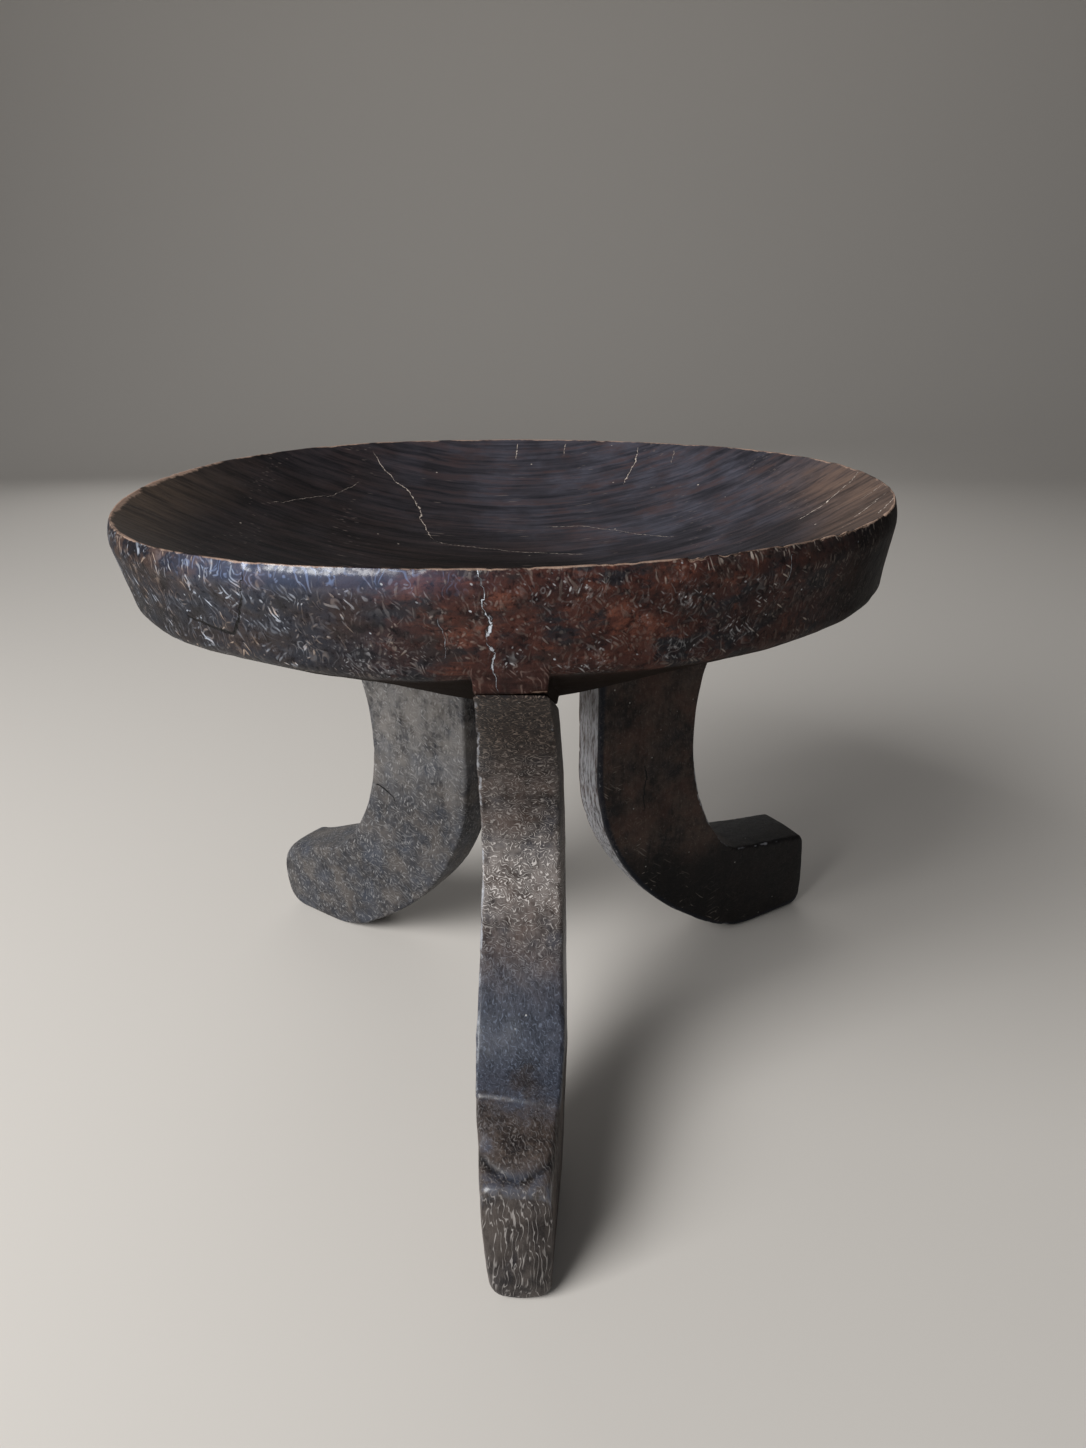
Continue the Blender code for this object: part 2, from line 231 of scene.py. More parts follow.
# Splits in the rear legs, in space
LEG_CRACKS = {
    "leg_rear_right": [(np.array([
        (0.0712, 0.0320, 0.150), (0.0724, 0.0326, 0.140), (0.0710, 0.0318, 0.131), (0.0722, 0.0325, 0.117),
    ]), 0.9)],
    "leg_rear_left": [(np.array([
        (-0.0985, 0.0512, 0.1265), (-0.0929, 0.0478, 0.1240), (-0.0882, 0.0450, 0.1205),
        (-0.0861, 0.0437, 0.1165),
    ]), 1.0)],
}

# Camera of the photograph
EYE = Vector((0.00871, -0.46728, 0.39427))
EYE_PITCH = 0.4103
LENS = 22.5


def smooth(value, low, high):
    """Smooth step: nought below low, one above high, and a cubic S between them."""
    share = np.clip((value - low) / (high - low), 0.0, 1.0)
    return share * share * (3 - 2 * share)


def mix(a, b, share):
    """A value between two others: the first plus a share of the way to the second."""
    return a + (b - a) * share


def lattice(cells, seed):
    """A random value from -1 to 1 for each lattice point, by mixing the bits of its whole coordinates."""
    mixed = cells[..., 0] * 73856093 ^ cells[..., 1] * 19349663 ^ cells[..., 2] * 83492791 ^ seed * 668265263
    mixed = (mixed ^ (mixed >> 13)) * 1274126177
    mixed = (mixed ^ (mixed >> 16)) & 0xFFFF
    return mixed / 32767.5 - 1.0


def waves(points, size, seed):
    """Smooth random field from -1 to 1: lattice values `size` apart, blended with a cubic S along each
    axis."""
    scaled = points / size
    corner = np.floor(scaled).astype(np.int64)
    share = smooth(scaled - corner, 0.0, 1.0)
    total = np.zeros(points.shape[:-1])
    for offset in np.ndindex(2, 2, 2):
        weight = np.prod(np.where(offset, share, 1 - share), axis=-1)
        total += weight * lattice(corner + np.array(offset), seed)
    return total


def tool_waves(points, sizes, seed):
    """Waviness left by the tools: a sum of smooth random fields, each of its own size times its own
    depth."""
    return sum(depth * waves(points, size, seed + step) for step, (depth, size) in enumerate(sizes))


def grid_normals(points):
    """Unit normals of a grid that closes on itself sideways: the cross product of its two central
    differences."""
    down = np.gradient(points, axis=0)
    along = np.roll(points, -1, axis=1) - np.roll(points, 1, axis=1)
    normals = np.cross(down, along)
    return normals / np.maximum(np.linalg.norm(normals, axis=-1, keepdims=True), 1e-12)


def add_tube(name, points, fields):
    """Makes a mesh of a grid that closes on itself sideways, with a fan to the middle of each end row.

    Face (row, column) joins the grid points (row, column), (row, column + 1) and the two below them.
    """
    rows, columns = points.shape[:2]
    index = np.arange(rows * columns).reshape(rows, columns)
    right = np.roll(index, -1, axis=1)
    quads = np.stack([index[:-1], index[1:], right[1:], right[:-1]], axis=-1).reshape(-1, 4)
    first_index, last_index = rows * columns, rows * columns + 1
    top = np.stack([np.full(columns, first_index), index[0], right[0]], axis=-1)
    bottom = np.stack([np.full(columns, last_index), right[-1], index[-1]], axis=-1)
    vertices = np.concatenate([points.reshape(-1, 3), [points[0].mean(axis=0), points[-1].mean(axis=0)]])
    mesh = bpy.data.meshes.new(name)
    mesh.from_pydata(vertices.tolist(), [], quads.tolist() + top.tolist() + bottom.tolist())
    for label, values in fields.items():
        ends = [values[0].mean(), values[-1].mean()]
        attribute = mesh.attributes.new(label, "FLOAT", "POINT")
        attribute.data.foreach_set("value", np.concatenate([values.ravel(), ends]).astype(np.float32))
    mesh.shade_smooth()
    piece = bpy.data.objects.new(name, mesh)
    bpy.context.scene.collection.objects.link(piece)
    return piece


# Seat

def arc(centre, across, up, start, end, steps):
    """Points of part of an ellipse from one angle to another, without the first: centre plus across and up
    times the angle's cosine and sine."""
    turn = np.linspace(start, end, steps + 1)[1:]
    return np.stack([centre[0] + across * np.cos(turn), centre[1] + up * np.sin(turn)], axis=-1)


def run(start, end, steps):
    """Points of a straight line, without the first."""
    return mix(np.array(start), np.array(end), np.linspace(0, 1, steps + 1)[1:, None])


def arris_radius():
    """Radius of the rim's sharp inner edge: where the rim's ellipse starts."""
    return RIM_RADIUS - RIM_DEPTH + RIM_DEPTH * math.cos(RIM_START)


def dish_height(radius):
    """The dish: its floor plus its depth times a power of the share of the way to the inner edge."""
    return DISH_FLOOR + DISH_DEPTH * (radius / arris_radius()) ** DISH_POWER


def seat_sections():
    """Radius and height of every row of the seat's section, for plain wood and for a boss.

    From the middle: a power curve up the dish, an ellipse over the rim, the straight wall, the round foot,
    the slope and the flat hub. At a boss the wall runs straight on to the boss's lower edge, and the slope
    lies lower.
    """
    share = 1 - (1 - np.arange(1, DISH_ROWS + 1) / DISH_ROWS) ** 1.5
    dish_radius = arris_radius() * share
    dish = np.stack([dish_radius, dish_height(dish_radius)], axis=-1)
    rim_centre = (RIM_RADIUS - RIM_DEPTH, RIM_HEIGHT - RIM_DROP * math.sin(RIM_START))
    rim = arc(rim_centre, RIM_DEPTH, RIM_DROP, RIM_START, 0.0, RIM_ROWS)
    wall = run(rim[-1], (FOOT_RADIUS, FOOT_HEIGHT + FOOT_ROUND), WALL_ROWS)
    foot_centre = (FOOT_RADIUS - FOOT_ROUND, FOOT_HEIGHT + FOOT_ROUND)
    foot = arc(foot_centre, FOOT_ROUND, FOOT_ROUND, 0.0, math.atan(UNDERSIDE_RISE) - math.pi / 2, FOOT_ROWS)
    hub = (HUB_RADIUS, FOOT_HEIGHT - (FOOT_RADIUS - HUB_RADIUS) * UNDERSIDE_RISE)
    slope = run(foot[-1], hub, SLOPE_ROWS)
    middle = run(hub, (0.0, hub[1]), HUB_ROWS + 1)[:-1]
    plain = np.concatenate([dish, rim, wall, foot, slope, middle])

    round_rows = 3
    edge_height = FOOT_HEIGHT - BOSS_DROP + BOSS_EDGE_ROUND
    boss_front = run(wall[-1], (BOSS_EDGE, edge_height), FOOT_ROWS - round_rows)
    boss_turn = arc((BOSS_EDGE - BOSS_EDGE_ROUND, edge_height), BOSS_EDGE_ROUND, BOSS_EDGE_ROUND, 0.0,
                    math.atan(UNDERSIDE_RISE) - math.pi / 2, round_rows)
    bearing = slope.copy()
    bearing[:, 1] = FOOT_HEIGHT - BOSS_DROP - (BOSS_EDGE - slope[:, 0]) * UNDERSIDE_RISE
    boss = np.concatenate([dish, rim, wall, boss_front, boss_turn, bearing, middle])
    return plain, boss


def boss_edge_angle(leg, aside, radius):
    """Angle about the seat's axis of a line that runs along a leg, some way aside from it, at a radius."""
    turn = LEG_TURN[leg]
    return turn + np.arcsin(np.clip((aside - LEG_OFFSET * math.sin(turn)) / radius, -0.95, 0.95))


def seat_columns(radius):
    """Angle of every column in every row, and the share of boss in each column.

    Fixed columns follow the sides of the bosses and their fillets, and the columns between them are spread
    evenly. The front, which shows the most, has the most columns.
    """
    reach = mix(BOSS_HALF_WIDTHS[0], BOSS_HALF_WIDTHS[1], smooth(radius, BOSS_INNER, BOSS_EDGE))
    knots, counts, shares = [np.full(len(radius), math.radians(-140))], [], [0.0]
    plan = {"leg_front": (146, 5, 28), "leg_rear_right": (104, 3, 16), "leg_rear_left": (188, 3, 16)}
    for leg, (before, fillet, across) in plan.items():
        for aside in (-reach - BOSS_FILLET, -reach, reach, reach + BOSS_FILLET):
            knots.append(boss_edge_angle(leg, aside, radius))
        counts += [before, fillet, across, fillet]
        shares += [0.0, 1.0, 1.0, 0.0]
        if leg == "leg_front":
            knots.append(np.full(len(radius), math.radians(-38)))
            counts.append(140)
            shares.append(0.0)
    knots.append(knots[0] + math.tau)
    counts.append(108)
    shares.append(0.0)
    knots, shares = np.stack(knots, axis=-1), np.array(shares)
    place = np.concatenate([knot + np.arange(count) / count for knot, count in enumerate(counts)])
    before = np.floor(place).astype(int)
    share = place - before
    angles = mix(knots[:, before], knots[:, before + 1], share)
    return angles, mix(shares[before], shares[before + 1], smooth(share, 0.0, 1.0))


def seat_points(path, on_wall):
    """Points in space of a crack: on the wall its radius leans with the height, and in the dish its height
    is the dish's."""
    path = np.array(path)
    if on_wall:
        turn = np.radians(path[:, 0])
        radius = RIM_RADIUS - WALL_LEAN * smooth(-path[:, 1], -RIM_HEIGHT + RIM_DROP, -FOOT_HEIGHT)
        flat = np.stack([radius * np.cos(turn), radius * np.sin(turn), path[:, 1]], axis=-1)
    else:
        flat = np.column_stack([path, dish_height(np.hypot(path[:, 0], path[:, 1]))])
    return flat + SEAT_AXIS


def crack_fields(points, normals, paths):
    """Distance in millimetres to the nearest crack, with a sign for its two sides, and the crack's strength
    there.

    The sign is that of the surface normal along the cross product of the crack's run and the way to the
    point. The strength fades out towards both ends of a crack and 6 mm away from it.
    """
    side, reach = np.full(points.shape[:-1], 9.0), np.zeros(points.shape[:-1])
    nearest = np.full(points.shape[:-1], np.inf)
    for path, strength in paths:
        lengths = np.linalg.norm(np.diff(path, axis=0), axis=-1)
        begun = np.concatenate([[0.0], np.cumsum(lengths)])
        for start, end, length, gone in zip(path, path[1:], lengths, begun):
            step = end - start
            share = np.clip(((points - start) @ step) / (step @ step), 0.0, 1.0)
            offset = points - start - share[..., None] * step
            away = np.linalg.norm(offset, axis=-1)
            hand = np.sign(np.sum(np.cross(step, offset) * normals, axis=-1))
            along = (gone + share * length) / begun[-1]
            strong = strength * smooth(along, 0.0, 0.06) * smooth(1 - along, 0.0, 0.10)
            strong = strong * (1 - smooth(away, 0.004, 0.006))
            closer = away < nearest
            side = np.where(closer, away * hand * 1000, side)
            reach = np.where(closer, strong, reach)
            nearest = np.minimum(nearest, away)
    return np.clip(side, -9.0, 9.0), reach


def on_stretch(angle, name):
    """One inside a named stretch of the circle, nought outside it, with a cubic S at both ends."""
    centre, half_width, soft = STRETCHES[name]
    away = np.abs((np.degrees(angle) - centre + 180) % 360 - 180)
    return 1 - smooth(away, half_width - soft, half_width + soft)


def scrape_patches(angle, height):
    """Soft round patches on the wall: a bell curve of the angle times one of the height, for each patch."""
    patches = [strength * np.exp(-((np.degrees(angle) - middle + 180) % 360 - 180) ** 2 / width ** 2
                                 - ((height - level) / tall) ** 2)
               for middle, level, width, tall, strength in WALL_SCRAPES]
    return np.clip(sum(patches), 0, 1)


def wave_sum(angle, sizes):
    """Sum of cosines and sines of once, twice and more the angle, each times its size."""
    return sum(a * np.cos((k + 1) * angle) + b * np.sin((k + 1) * angle) for k, (a, b) in enumerate(sizes))


def carve_seat():
    """The whole seat as one closed surface, with the wobble of the rim, tool marks, chips and cracks."""
    plain, boss = seat_sections()
    rows = len(plain)
    dish_end, rim_end = DISH_ROWS, DISH_ROWS + RIM_ROWS
    wall_end = rim_end + WALL_ROWS
    foot_end = wall_end + FOOT_ROWS
    row = np.arange(rows)[:, None]
    column_radius = np.where(np.arange(rows) < foot_end, BOSS_EDGE, np.maximum(plain[:, 0], 0.05))
    angle, boss_column = seat_columns(column_radius)
    unit = np.stack([np.cos(angle), np.sin(angle)], axis=-1)

    flat = unit * plain[:, 0, None, None]
    along = np.zeros(angle.shape)
    for leg in LEGS:
        turn = LEG_TURN[leg]
        reach = (flat[..., 0] - LEG_OFFSET) * math.cos(turn) + flat[..., 1] * math.sin(turn)
        along = np.maximum(along, reach)
    boss_share = boss_column * smooth(along, BOSS_INNER - BOSS_END_RUN, BOSS_INNER) * (row >= wall_end)
    radius = mix(plain[:, 0, None], boss[:, 0, None], boss_share)
    height = mix(plain[:, 1, None], boss[:, 1, None], boss_share)

    # The rim wobbles and tilts up to the right. The foot of the wall hangs lower at the left and beside the
    # front leg
    share_in_dish = (plain[:, 0, None] / arris_radius()) ** 3
    wall_share = np.clip((row - rim_end + 1) / WALL_ROWS, 0.0, 1.0)
    rim_share = np.where(row < dish_end, share_in_dish, 1 - wall_share)
    foot_share = wall_share * smooth(plain[:, 0, None], 0.11, FOOT_RADIUS - FOOT_ROUND) * (1 - boss_share)
    foot_share = np.where(row < foot_end, wall_share * (1 - boss_share), foot_share)
    rim_lift = wave_sum(angle, RIM_LIFT_WAVES)
    low_foot, sagging_foot = on_stretch(angle, "low foot"), on_stretch(angle, "sagging foot")
    foot_lift = FOOT_RAISE - FOOT_DROP * low_foot - FOOT_SAG * sagging_foot
    height = height + rim_lift * rim_share + foot_lift * foot_share
    radius = radius + (RIM_SPREAD + wave_sum(angle, RIM_OFFSET_WAVES)) * rim_share

    points = np.concatenate([unit * radius[..., None], height[..., None]], axis=-1) + SEAT_AXIS
    normals = grid_normals(points)
    section_length = np.concatenate([[0.0], np.cumsum(np.linalg.norm(np.diff(plain, axis=0), axis=-1))])
    from_arris = np.abs(section_length - section_length[dish_end - 1])[:, None]
    in_dish = (row < dish_end) * np.ones(angle.shape)
    under = smooth(row, wall_end + 4, foot_end + 1) * np.ones(angle.shape)

    rough = mix(1.0, 0.55, in_dish) * (1 - boss_share)
    relief = rough * tool_waves(points, SEAT_WAVES, 1)
    chip_field = waves(points, 0.0055, 4) + 0.5 * waves(points, 0.0021, 5)
    chip_zone = 0.3 + 0.7 * on_stretch(angle, "chipped rim")
    chips = np.exp(-(from_arris / 0.0022) ** 2) * smooth(chip_field, 0.2, 1.0) * chip_zone
    relief -= SEAT_CHIP * chips
    boss_side = boss_share * (1 - boss_share) * 4 * (row < foot_end)
    boss_edge = boss_share * np.exp(-((row - foot_end + 2) / 1.6) ** 2)
    boss_edge = boss_edge + 0.7 * boss_side * smooth(row, wall_end + 2, wall_end + 5)
    boss_chips = boss_edge * smooth(waves(points, 0.0045, 8) + 0.5 * waves(points, 0.0020, 9), -0.1, 0.7)
    relief -= SEAT_CHIP * boss_chips
    on_wall = 1 - in_dish
    wall_paths = [(seat_points(path, True), strength) for path, strength in WALL_CRACKS]
    dish_paths = [(seat_points(path, False), strength) for path, strength in DISH_CRACKS]
    wall_side, wall_reach = crack_fields(points, normals, wall_paths)
    dish_side, dish_reach = crack_fields(points, normals, dish_paths)
    dark_side, dark_reach = crack_fields(points, normals, [(seat_points(PLUG_CRACK, True), 1.0)])
    crack_side = np.where(in_dish > 0.5, dish_side, wall_side)
    crack_reach = np.where(in_dish > 0.5, dish_reach, wall_reach)
    crack_depth = mix(WALL_CRACK_DEPTH, DISH_CRACK_DEPTH, in_dish)
    relief -= crack_depth * crack_reach * np.exp(-(crack_side / GROOVE) ** 2)
    relief -= PLUG_CRACK_DEPTH * on_wall * dark_reach * np.exp(-(dark_side / GROOVE) ** 2)
    worn_width = 0.0010 + 0.0022 * on_stretch(angle, "worn rim")
    pale_rim = 0.25 + 0.75 * on_stretch(angle, "pale rim left") + 0.6 * on_stretch(angle, "pale rim right")
    height_now = points[..., 2]
    points = points + normals * relief[..., None]
    rim_wear = np.exp(-(from_arris / worn_width) ** 2) * (0.8 + 0.5 * waves(points, 0.012, 7))

    fields = {
        "in_dish": in_dish,
        "underside": under,
        "worn": np.clip(rim_wear + chips + 0.35 * boss_edge + 0.9 * boss_chips, 0, 1),
        "rim_band": on_wall * np.exp(-(from_arris / 0.010) ** 2) * pale_rim,
        "scraped": on_stretch(angle, "scraped"),
        "rust": on_stretch(angle, "rust in front") + 0.6 * on_stretch(angle, "rust right"),
        "bluing": on_stretch(angle, "bluing"),
        "boss": boss_share,
        # Painted shade at the far right of the wall, and half as strong at the far left
        "painted_shade": on_stretch(angle, "shaded right") + 0.5 * on_stretch(angle, "shaded left"),
        # Painted light on the dish's left inner wall
        "painted_light_left": in_dish * on_stretch(angle, "dish left") * smooth(radius, 0.150, 0.188),
        "right_side": in_dish * on_stretch(angle, "dish right") * smooth(radius, 0.140, 0.182),
        # Where the dish gets a painted sheen, with warm patches in it
        "sheen_side": in_dish * (0.15 + 0.85 * on_stretch(angle, "dish back")) * smooth(radius, 0.01, 0.12),
        # Where the rim's shoulder gets a painted bluish highlight and a glossier coat
        "polish_and_painted_highlight": on_wall * np.exp(-((from_arris - 0.003) / 0.0055) ** 2) * on_stretch(angle, "polish_and_painted_highlight"),
        "scrapes": on_wall * scrape_patches(angle, height_now),
        "crack_side": crack_side,
        "crack_reach": crack_reach,
        "dark_side": dark_side,
        "dark_reach": dark_reach,
    }
    return add_tube("carved_seat", points, fields)


# Legs

def bezier(start, start_pull, end_pull, end, share):
    """Cubic curve whose handles lie at a share of its run and drop from either end."""
    start, end = np.array(start), np.array(end)
    span = end - start
    first, second = start + span * np.array(start_pull), end - span * np.array(end_pull)
    t = share[:, None]
    return (1 - t) ** 3 * start + 3 * (1 - t) ** 2 * t * first + 3 * (1 - t) * t ** 2 * second + t ** 3 * end


def boss_reach(leg):
    """Radius from the legs' middle at which a boss ends."""
    turn = LEG_TURN[leg]
    return math.sqrt(BOSS_EDGE ** 2 - (LEG_OFFSET * math.sin(turn)) ** 2) - LEG_OFFSET * math.cos(turn)


def leg_edges(leg):
    """The leg's inner and outer edges in side view, as radius and height, and each section's place along
    the leg.

    The inner edge is a straight stem, a curve to the heel, the sole and a quarter circle. The outer edge is
    a short lip, a flaring curve to the waist, a sweeping curve to the instep, a straight top and a quarter
    circle.
    """
    def bearing(radius):
        return FOOT_HEIGHT - BOSS_DROP - (boss_reach(leg) - radius) * UNDERSIDE_RISE

    tip = boss_reach(leg) - HEAD_SETBACK
    head_inner, head_tip = (STEM_INNER, bearing(STEM_INNER)), (tip, bearing(tip))
    lip = (tip, head_tip[1] - HEAD_LIP)
    knee = (STEM_INNER, head_inner[1] - HEAD_RISE - STEM_LENGTH)
    waist = (WAIST_RADIUS[leg], head_inner[1] - HEAD_RISE - WAIST_DROP)
    reach, crest_round, toe_round = TOE_REACH[leg], CREST_ROUND[leg], TOE_ROUND[leg]
    heel, sole_end = (reach - SOLE_LENGTH[leg], 0.0), (reach - toe_round, 0.0)
    instep = (reach - INSTEP_LENGTH[leg], TOE_HEIGHT[leg] + INSTEP_RISE[leg])
    crest = (reach - TOE_LEAN[leg] - crest_round, TOE_HEIGHT[leg])

    head = np.linspace(0, 1, HEAD_ROWS + 1)
    sweep = np.linspace(0, 1, SWEEP_ROWS + 1)[1:]
    lip_share = 1 / WAIST_PLACE
    below_lip = np.clip((head - lip_share) / (1 - lip_share), 0, 1)
    flare = bezier(lip, FLARE_TIP_PULL[leg], FLARE_WAIST_PULL, waist, below_lip)
    lip_line = mix(np.array(head_tip), np.array(lip), np.clip(head / lip_share, 0, 1)[:, None])
    outer_head = np.where(head[:, None] < lip_share, lip_line, flare)
    inner = np.concatenate([
        [head_inner], run(head_inner, knee, HEAD_ROWS), bezier(knee, KNEE_PULL, HEEL_PULL, heel, sweep),
        run(heel, sole_end, SOLE_ROWS),
        arc((sole_end[0], toe_round), toe_round, toe_round, -math.pi / 2, 0.0, TOE_ROWS)])
    outer = np.concatenate([
        outer_head, bezier(waist, WAIST_PULL, INSTEP_PULL, instep, sweep), run(instep, crest, SOLE_ROWS),
        arc((crest[0], crest[1] - crest_round), crest_round, crest_round, math.pi / 2, 0.0, TOE_ROWS)])
    place = np.concatenate([WAIST_PLACE * head, WAIST_PLACE + (INSTEP_PLACE - WAIST_PLACE) * sweep,
                            INSTEP_PLACE + (CREST_PLACE - INSTEP_PLACE) * np.linspace(0, 1,
                                                                                      SOLE_ROWS + 1)[1:],
                            CREST_PLACE + (END_PLACE - CREST_PLACE) * np.linspace(0, 1, TOE_ROWS + 1)[1:]])
    return round_heel(inner, np.array(heel)), outer, place


def round_heel(inner, heel):
    """Takes the corner off the heel: a parabola from the back curve to the sole, with the corner as its
    handle."""
    first = HEAD_ROWS + SWEEP_ROWS - HEEL_ROWS[0]
    last = HEAD_ROWS + SWEEP_ROWS + HEEL_ROWS[1]
    t = np.linspace(0, 1, last - first + 1)[:, None]
    inner[first:last + 1] = (1 - t) ** 2 * inner[first] + 2 * t * (1 - t) * heel + t ** 2 * inner[last]
    return inner


def section_ring(depth, outer_half, inner_half, outer_round, inner_round, crown):
    """Sections as four round corners joined by slightly crowned sides: distance from the inner edge, and
    aside.

    Every argument is an array with one value for each section. Also gives each column's share of a corner's
    peak and the number of its corner or side.
    """
    turn = np.linspace(0, math.pi / 2, CORNER_COLUMNS)
    corners = []
    for quarter, (near_outer, side) in enumerate(((True, 1), (False, 1), (False, -1), (True, -1))):
        radius = outer_round if near_outer else inner_round
        centre_depth = depth - radius if near_outer else radius
        centre_aside = side * ((outer_half if near_outer else inner_half) - radius)
        angle = turn + quarter * math.pi / 2
        corners.append(np.stack([centre_depth[:, None] + radius[:, None] * np.cos(angle),
                                 centre_aside[:, None] + radius[:, None] * np.sin(angle)], axis=-1))
    ring, corner_share, side_share = [], [], []
    for quarter, corner in enumerate(corners):
        following = corners[(quarter + 1) % 4]
        count = FACE_COLUMNS if quarter % 2 == 0 else EDGE_COLUMNS
        share = np.linspace(0, 1, count + 2)[1:-1]
        side = mix(corner[:, -1:], following[:, :1], share[:, None])
        outward = np.array([math.cos((quarter + 1) * math.pi / 2), math.sin((quarter + 1) * math.pi / 2)])
        side = side + outward * (4 * share * (1 - share))[:, None] * crown[:, None, None]
        ring += [corner, side]
        corner_share += [np.sin(2 * turn) * 0.7 + 0.3,
                         0.3 * np.exp(-np.minimum(share, 1 - share) * count / 1.5)]
        side_share += [np.full(CORNER_COLUMNS, quarter), np.full(count, quarter + 0.5)]
    return np.concatenate(ring, axis=1), np.concatenate(corner_share), np.concatenate(side_share)


def carve_leg(leg):
    """A leg as one closed surface: rounded sections from head to toe, and a slightly domed toe end."""
    inner, outer, place = leg_edges(leg)
    straight = (0.0,) * len(THICKNESS_PLACES)
    outer_half = np.interp(place, THICKNESS_PLACES, OUTER_THICKNESS[leg]) / 2
    inner_half = np.interp(place, THICKNESS_PLACES, INNER_THICKNESS[leg]) / 2
    outer_bend = np.interp(place, THICKNESS_PLACES, OUTER_BEND.get(leg, straight))
    inner_bend = np.interp(place, THICKNESS_PLACES, INNER_BEND.get(leg, straight))
    depth = np.linalg.norm(outer - inner, axis=-1)
    outer_round = mix(0.0022, TOP_CORNER[leg], smooth(place, INSTEP_PLACE, CREST_PLACE))
    inner_round = mix(0.0024, 0.0075, smooth(place, 18, 22.5))
    crown = np.full(len(depth), 0.0006)
    ring, corner, side = section_ring(depth, outer_half, inner_half, outer_round, inner_round, crown)
    side_view = inner[:, None] + (outer - inner)[:, None] * (ring[..., :1] / depth[:, None, None])
    bend = mix(inner_bend[:, None], outer_bend[:, None], ring[..., 0] / depth[:, None])
    skew = TOE_SKEW.get(leg, 0.0) * smooth(place, 19, 23)[:, None] * (1 - side_view[..., 1] / TOE_HEIGHT[leg])
    aside = ring[..., 1] + bend + skew

    # The toe's end face: rings drawn in towards its middle and pushed out into a shallow dome
    inset = 1 - np.linspace(0, 1, CAP_ROWS + 1)[1:-1] ** 1.3
    face = np.concatenate([side_view[-1], aside[-1][:, None]], axis=-1)
    middle = face.mean(axis=0)
    edge = outer[-1] - inner[-1]
    outward = np.array([edge[1], -edge[0], 0.0]) / np.linalg.norm(edge)
    cap = middle + (face - middle) * inset[:, None, None] + outward * 0.0032 * (1 - inset ** 3)[:, None, None]
    local = np.concatenate([np.concatenate([side_view, aside[..., None]], axis=-1), cap])
    from_back = np.concatenate([ring[..., 0], np.full((len(cap), ring.shape[1]), 1.0)])

    points = stand_leg(leg, local)
    normals = grid_normals(points)
    rows = len(local)
    from_crease = local[..., 0] - CREASE_RADIUS - CREASE_SLANT * local[..., 2]
    before_end = np.arange(rows)[:, None] < len(side_view)
    on_outer_face = ((side >= 3) | (side == 0)) & before_end & (leg == "leg_front")
    hollow_radius = HOLLOW_RADIUS - HOLLOW_TURN * (local[..., 2] / 0.016) ** 2
    dent_away = np.hypot(local[..., 2] - TOE_DENT[0], local[..., 1] - TOE_DENT[1]) / TOE_DENT[2]
    in_front = (local[..., 0] > 0.2) & (leg == "leg_front")
    place = np.concatenate([place, np.full(len(cap), float(END_PLACE))])[:, None]
    corner = np.where(before_end, corner, 0.0)
    seed = LEGS.index(leg) * 20
    keep = smooth(place, 0.0, 2.0) * smooth(points[..., 2], 0.0005, 0.005)
    relief = keep * tool_waves(points, LEG_WAVES, seed + 1)
    chip_field = waves(points, 0.006, seed + 4) + 0.5 * waves(points, 0.0023, seed + 5)
    # One outer corner of the front leg and of the rear right leg is the most worn
    use = np.where((side == 3) & (leg != "leg_rear_left"), 1.0, 0.6)
    chips = corner * smooth(chip_field, 0.3, 1.0) * use
    relief -= LEG_CHIP * chips * keep
    on_foot = on_outer_face * (place > 10)
    step = smooth(from_crease, -0.0006, 0.0006) * (1 - smooth(from_crease, 0.002, 0.022))
    relief -= CREASE_STEP * on_foot * step
    hollow = on_foot * np.exp(-((local[..., 0] - hollow_radius) / HOLLOW_WIDTH) ** 2)
    relief -= HOLLOW_DEPTH * hollow * (1 - 0.65 * (local[..., 2] / 0.017) ** 2)
    relief -= TOE_DENT[3] * in_front * np.exp(-dent_away ** 2)
    crease = on_foot * np.exp(-(from_crease / 0.00045) ** 2) * smooth(0.010 - local[..., 2], 0.0, 0.025)
    dark_side, dark_reach = crack_fields(points, normals, LEG_CRACKS.get(leg, []))
    relief -= LEG_CRACK_DEPTH * dark_reach * np.exp(-(dark_side / GROOVE) ** 2)
    points = points + normals * relief[..., None]
    points[..., 2] = np.maximum(points[..., 2], 0.0)
    everywhere = np.ones(points.shape[:2])
    toe_end = smooth(np.arange(rows)[:, None], len(side_view) - TOE_ROWS - 4, len(side_view))
    back = np.exp(-(from_back / 0.022) ** 2) * smooth(place, 5, 9) * (1 - smooth(place, 17, 20))
    fields = {
        "worn": np.clip(corner * use * (0.8 + 0.6 * waves(points, 0.009, seed + 6)) + 0.5 * chips, 0, 1)
                * mix(1.0, 0.55 if leg == "leg_front" else 0.9, smooth(place, 17, 20)),
        "toe_end": toe_end * everywhere,
        "crease": crease,
        "inner_face": (side == 1.5) * (1 - smooth(place, 17.5, 19.5)),
        "back_curve": (side == 2.5) * back,
        "inner_edge": (side == 2) * everywhere,
        # The hollow also carries painted shade
        "hollow": hollow,
        "crest": on_outer_face * np.exp(-((local[..., 0] - outer[-1, 0] + 0.003) / 0.006) ** 2),
        "dark_side": dark_side,
        "dark_reach": dark_reach,
    }
    return add_tube(leg.replace("leg_", "carved_") + "_leg", points, fields)


def stand_leg(leg, local):
    """Places points given as radius, height and distance aside: a turn about the legs' middle."""
    turn = LEG_TURN[leg]
    radius, height, aside = local[..., 0], local[..., 1], local[..., 2]
    return np.stack([radius * math.cos(turn) - aside * math.sin(turn),
                     radius * math.sin(turn) + aside * math.cos(turn), height], axis=-1) + LEG_MIDDLE


# Finishes

def tone(red, green, blue):
    """A colour given as screen values from 0 to 255, made linear."""
    share = np.array([red, green, blue]) / 255
    linear = np.where(share <= 0.04045, share / 12.92, ((share + 0.055) / 1.055) ** 2.4)
    return (*linear.tolist(), 1.0)


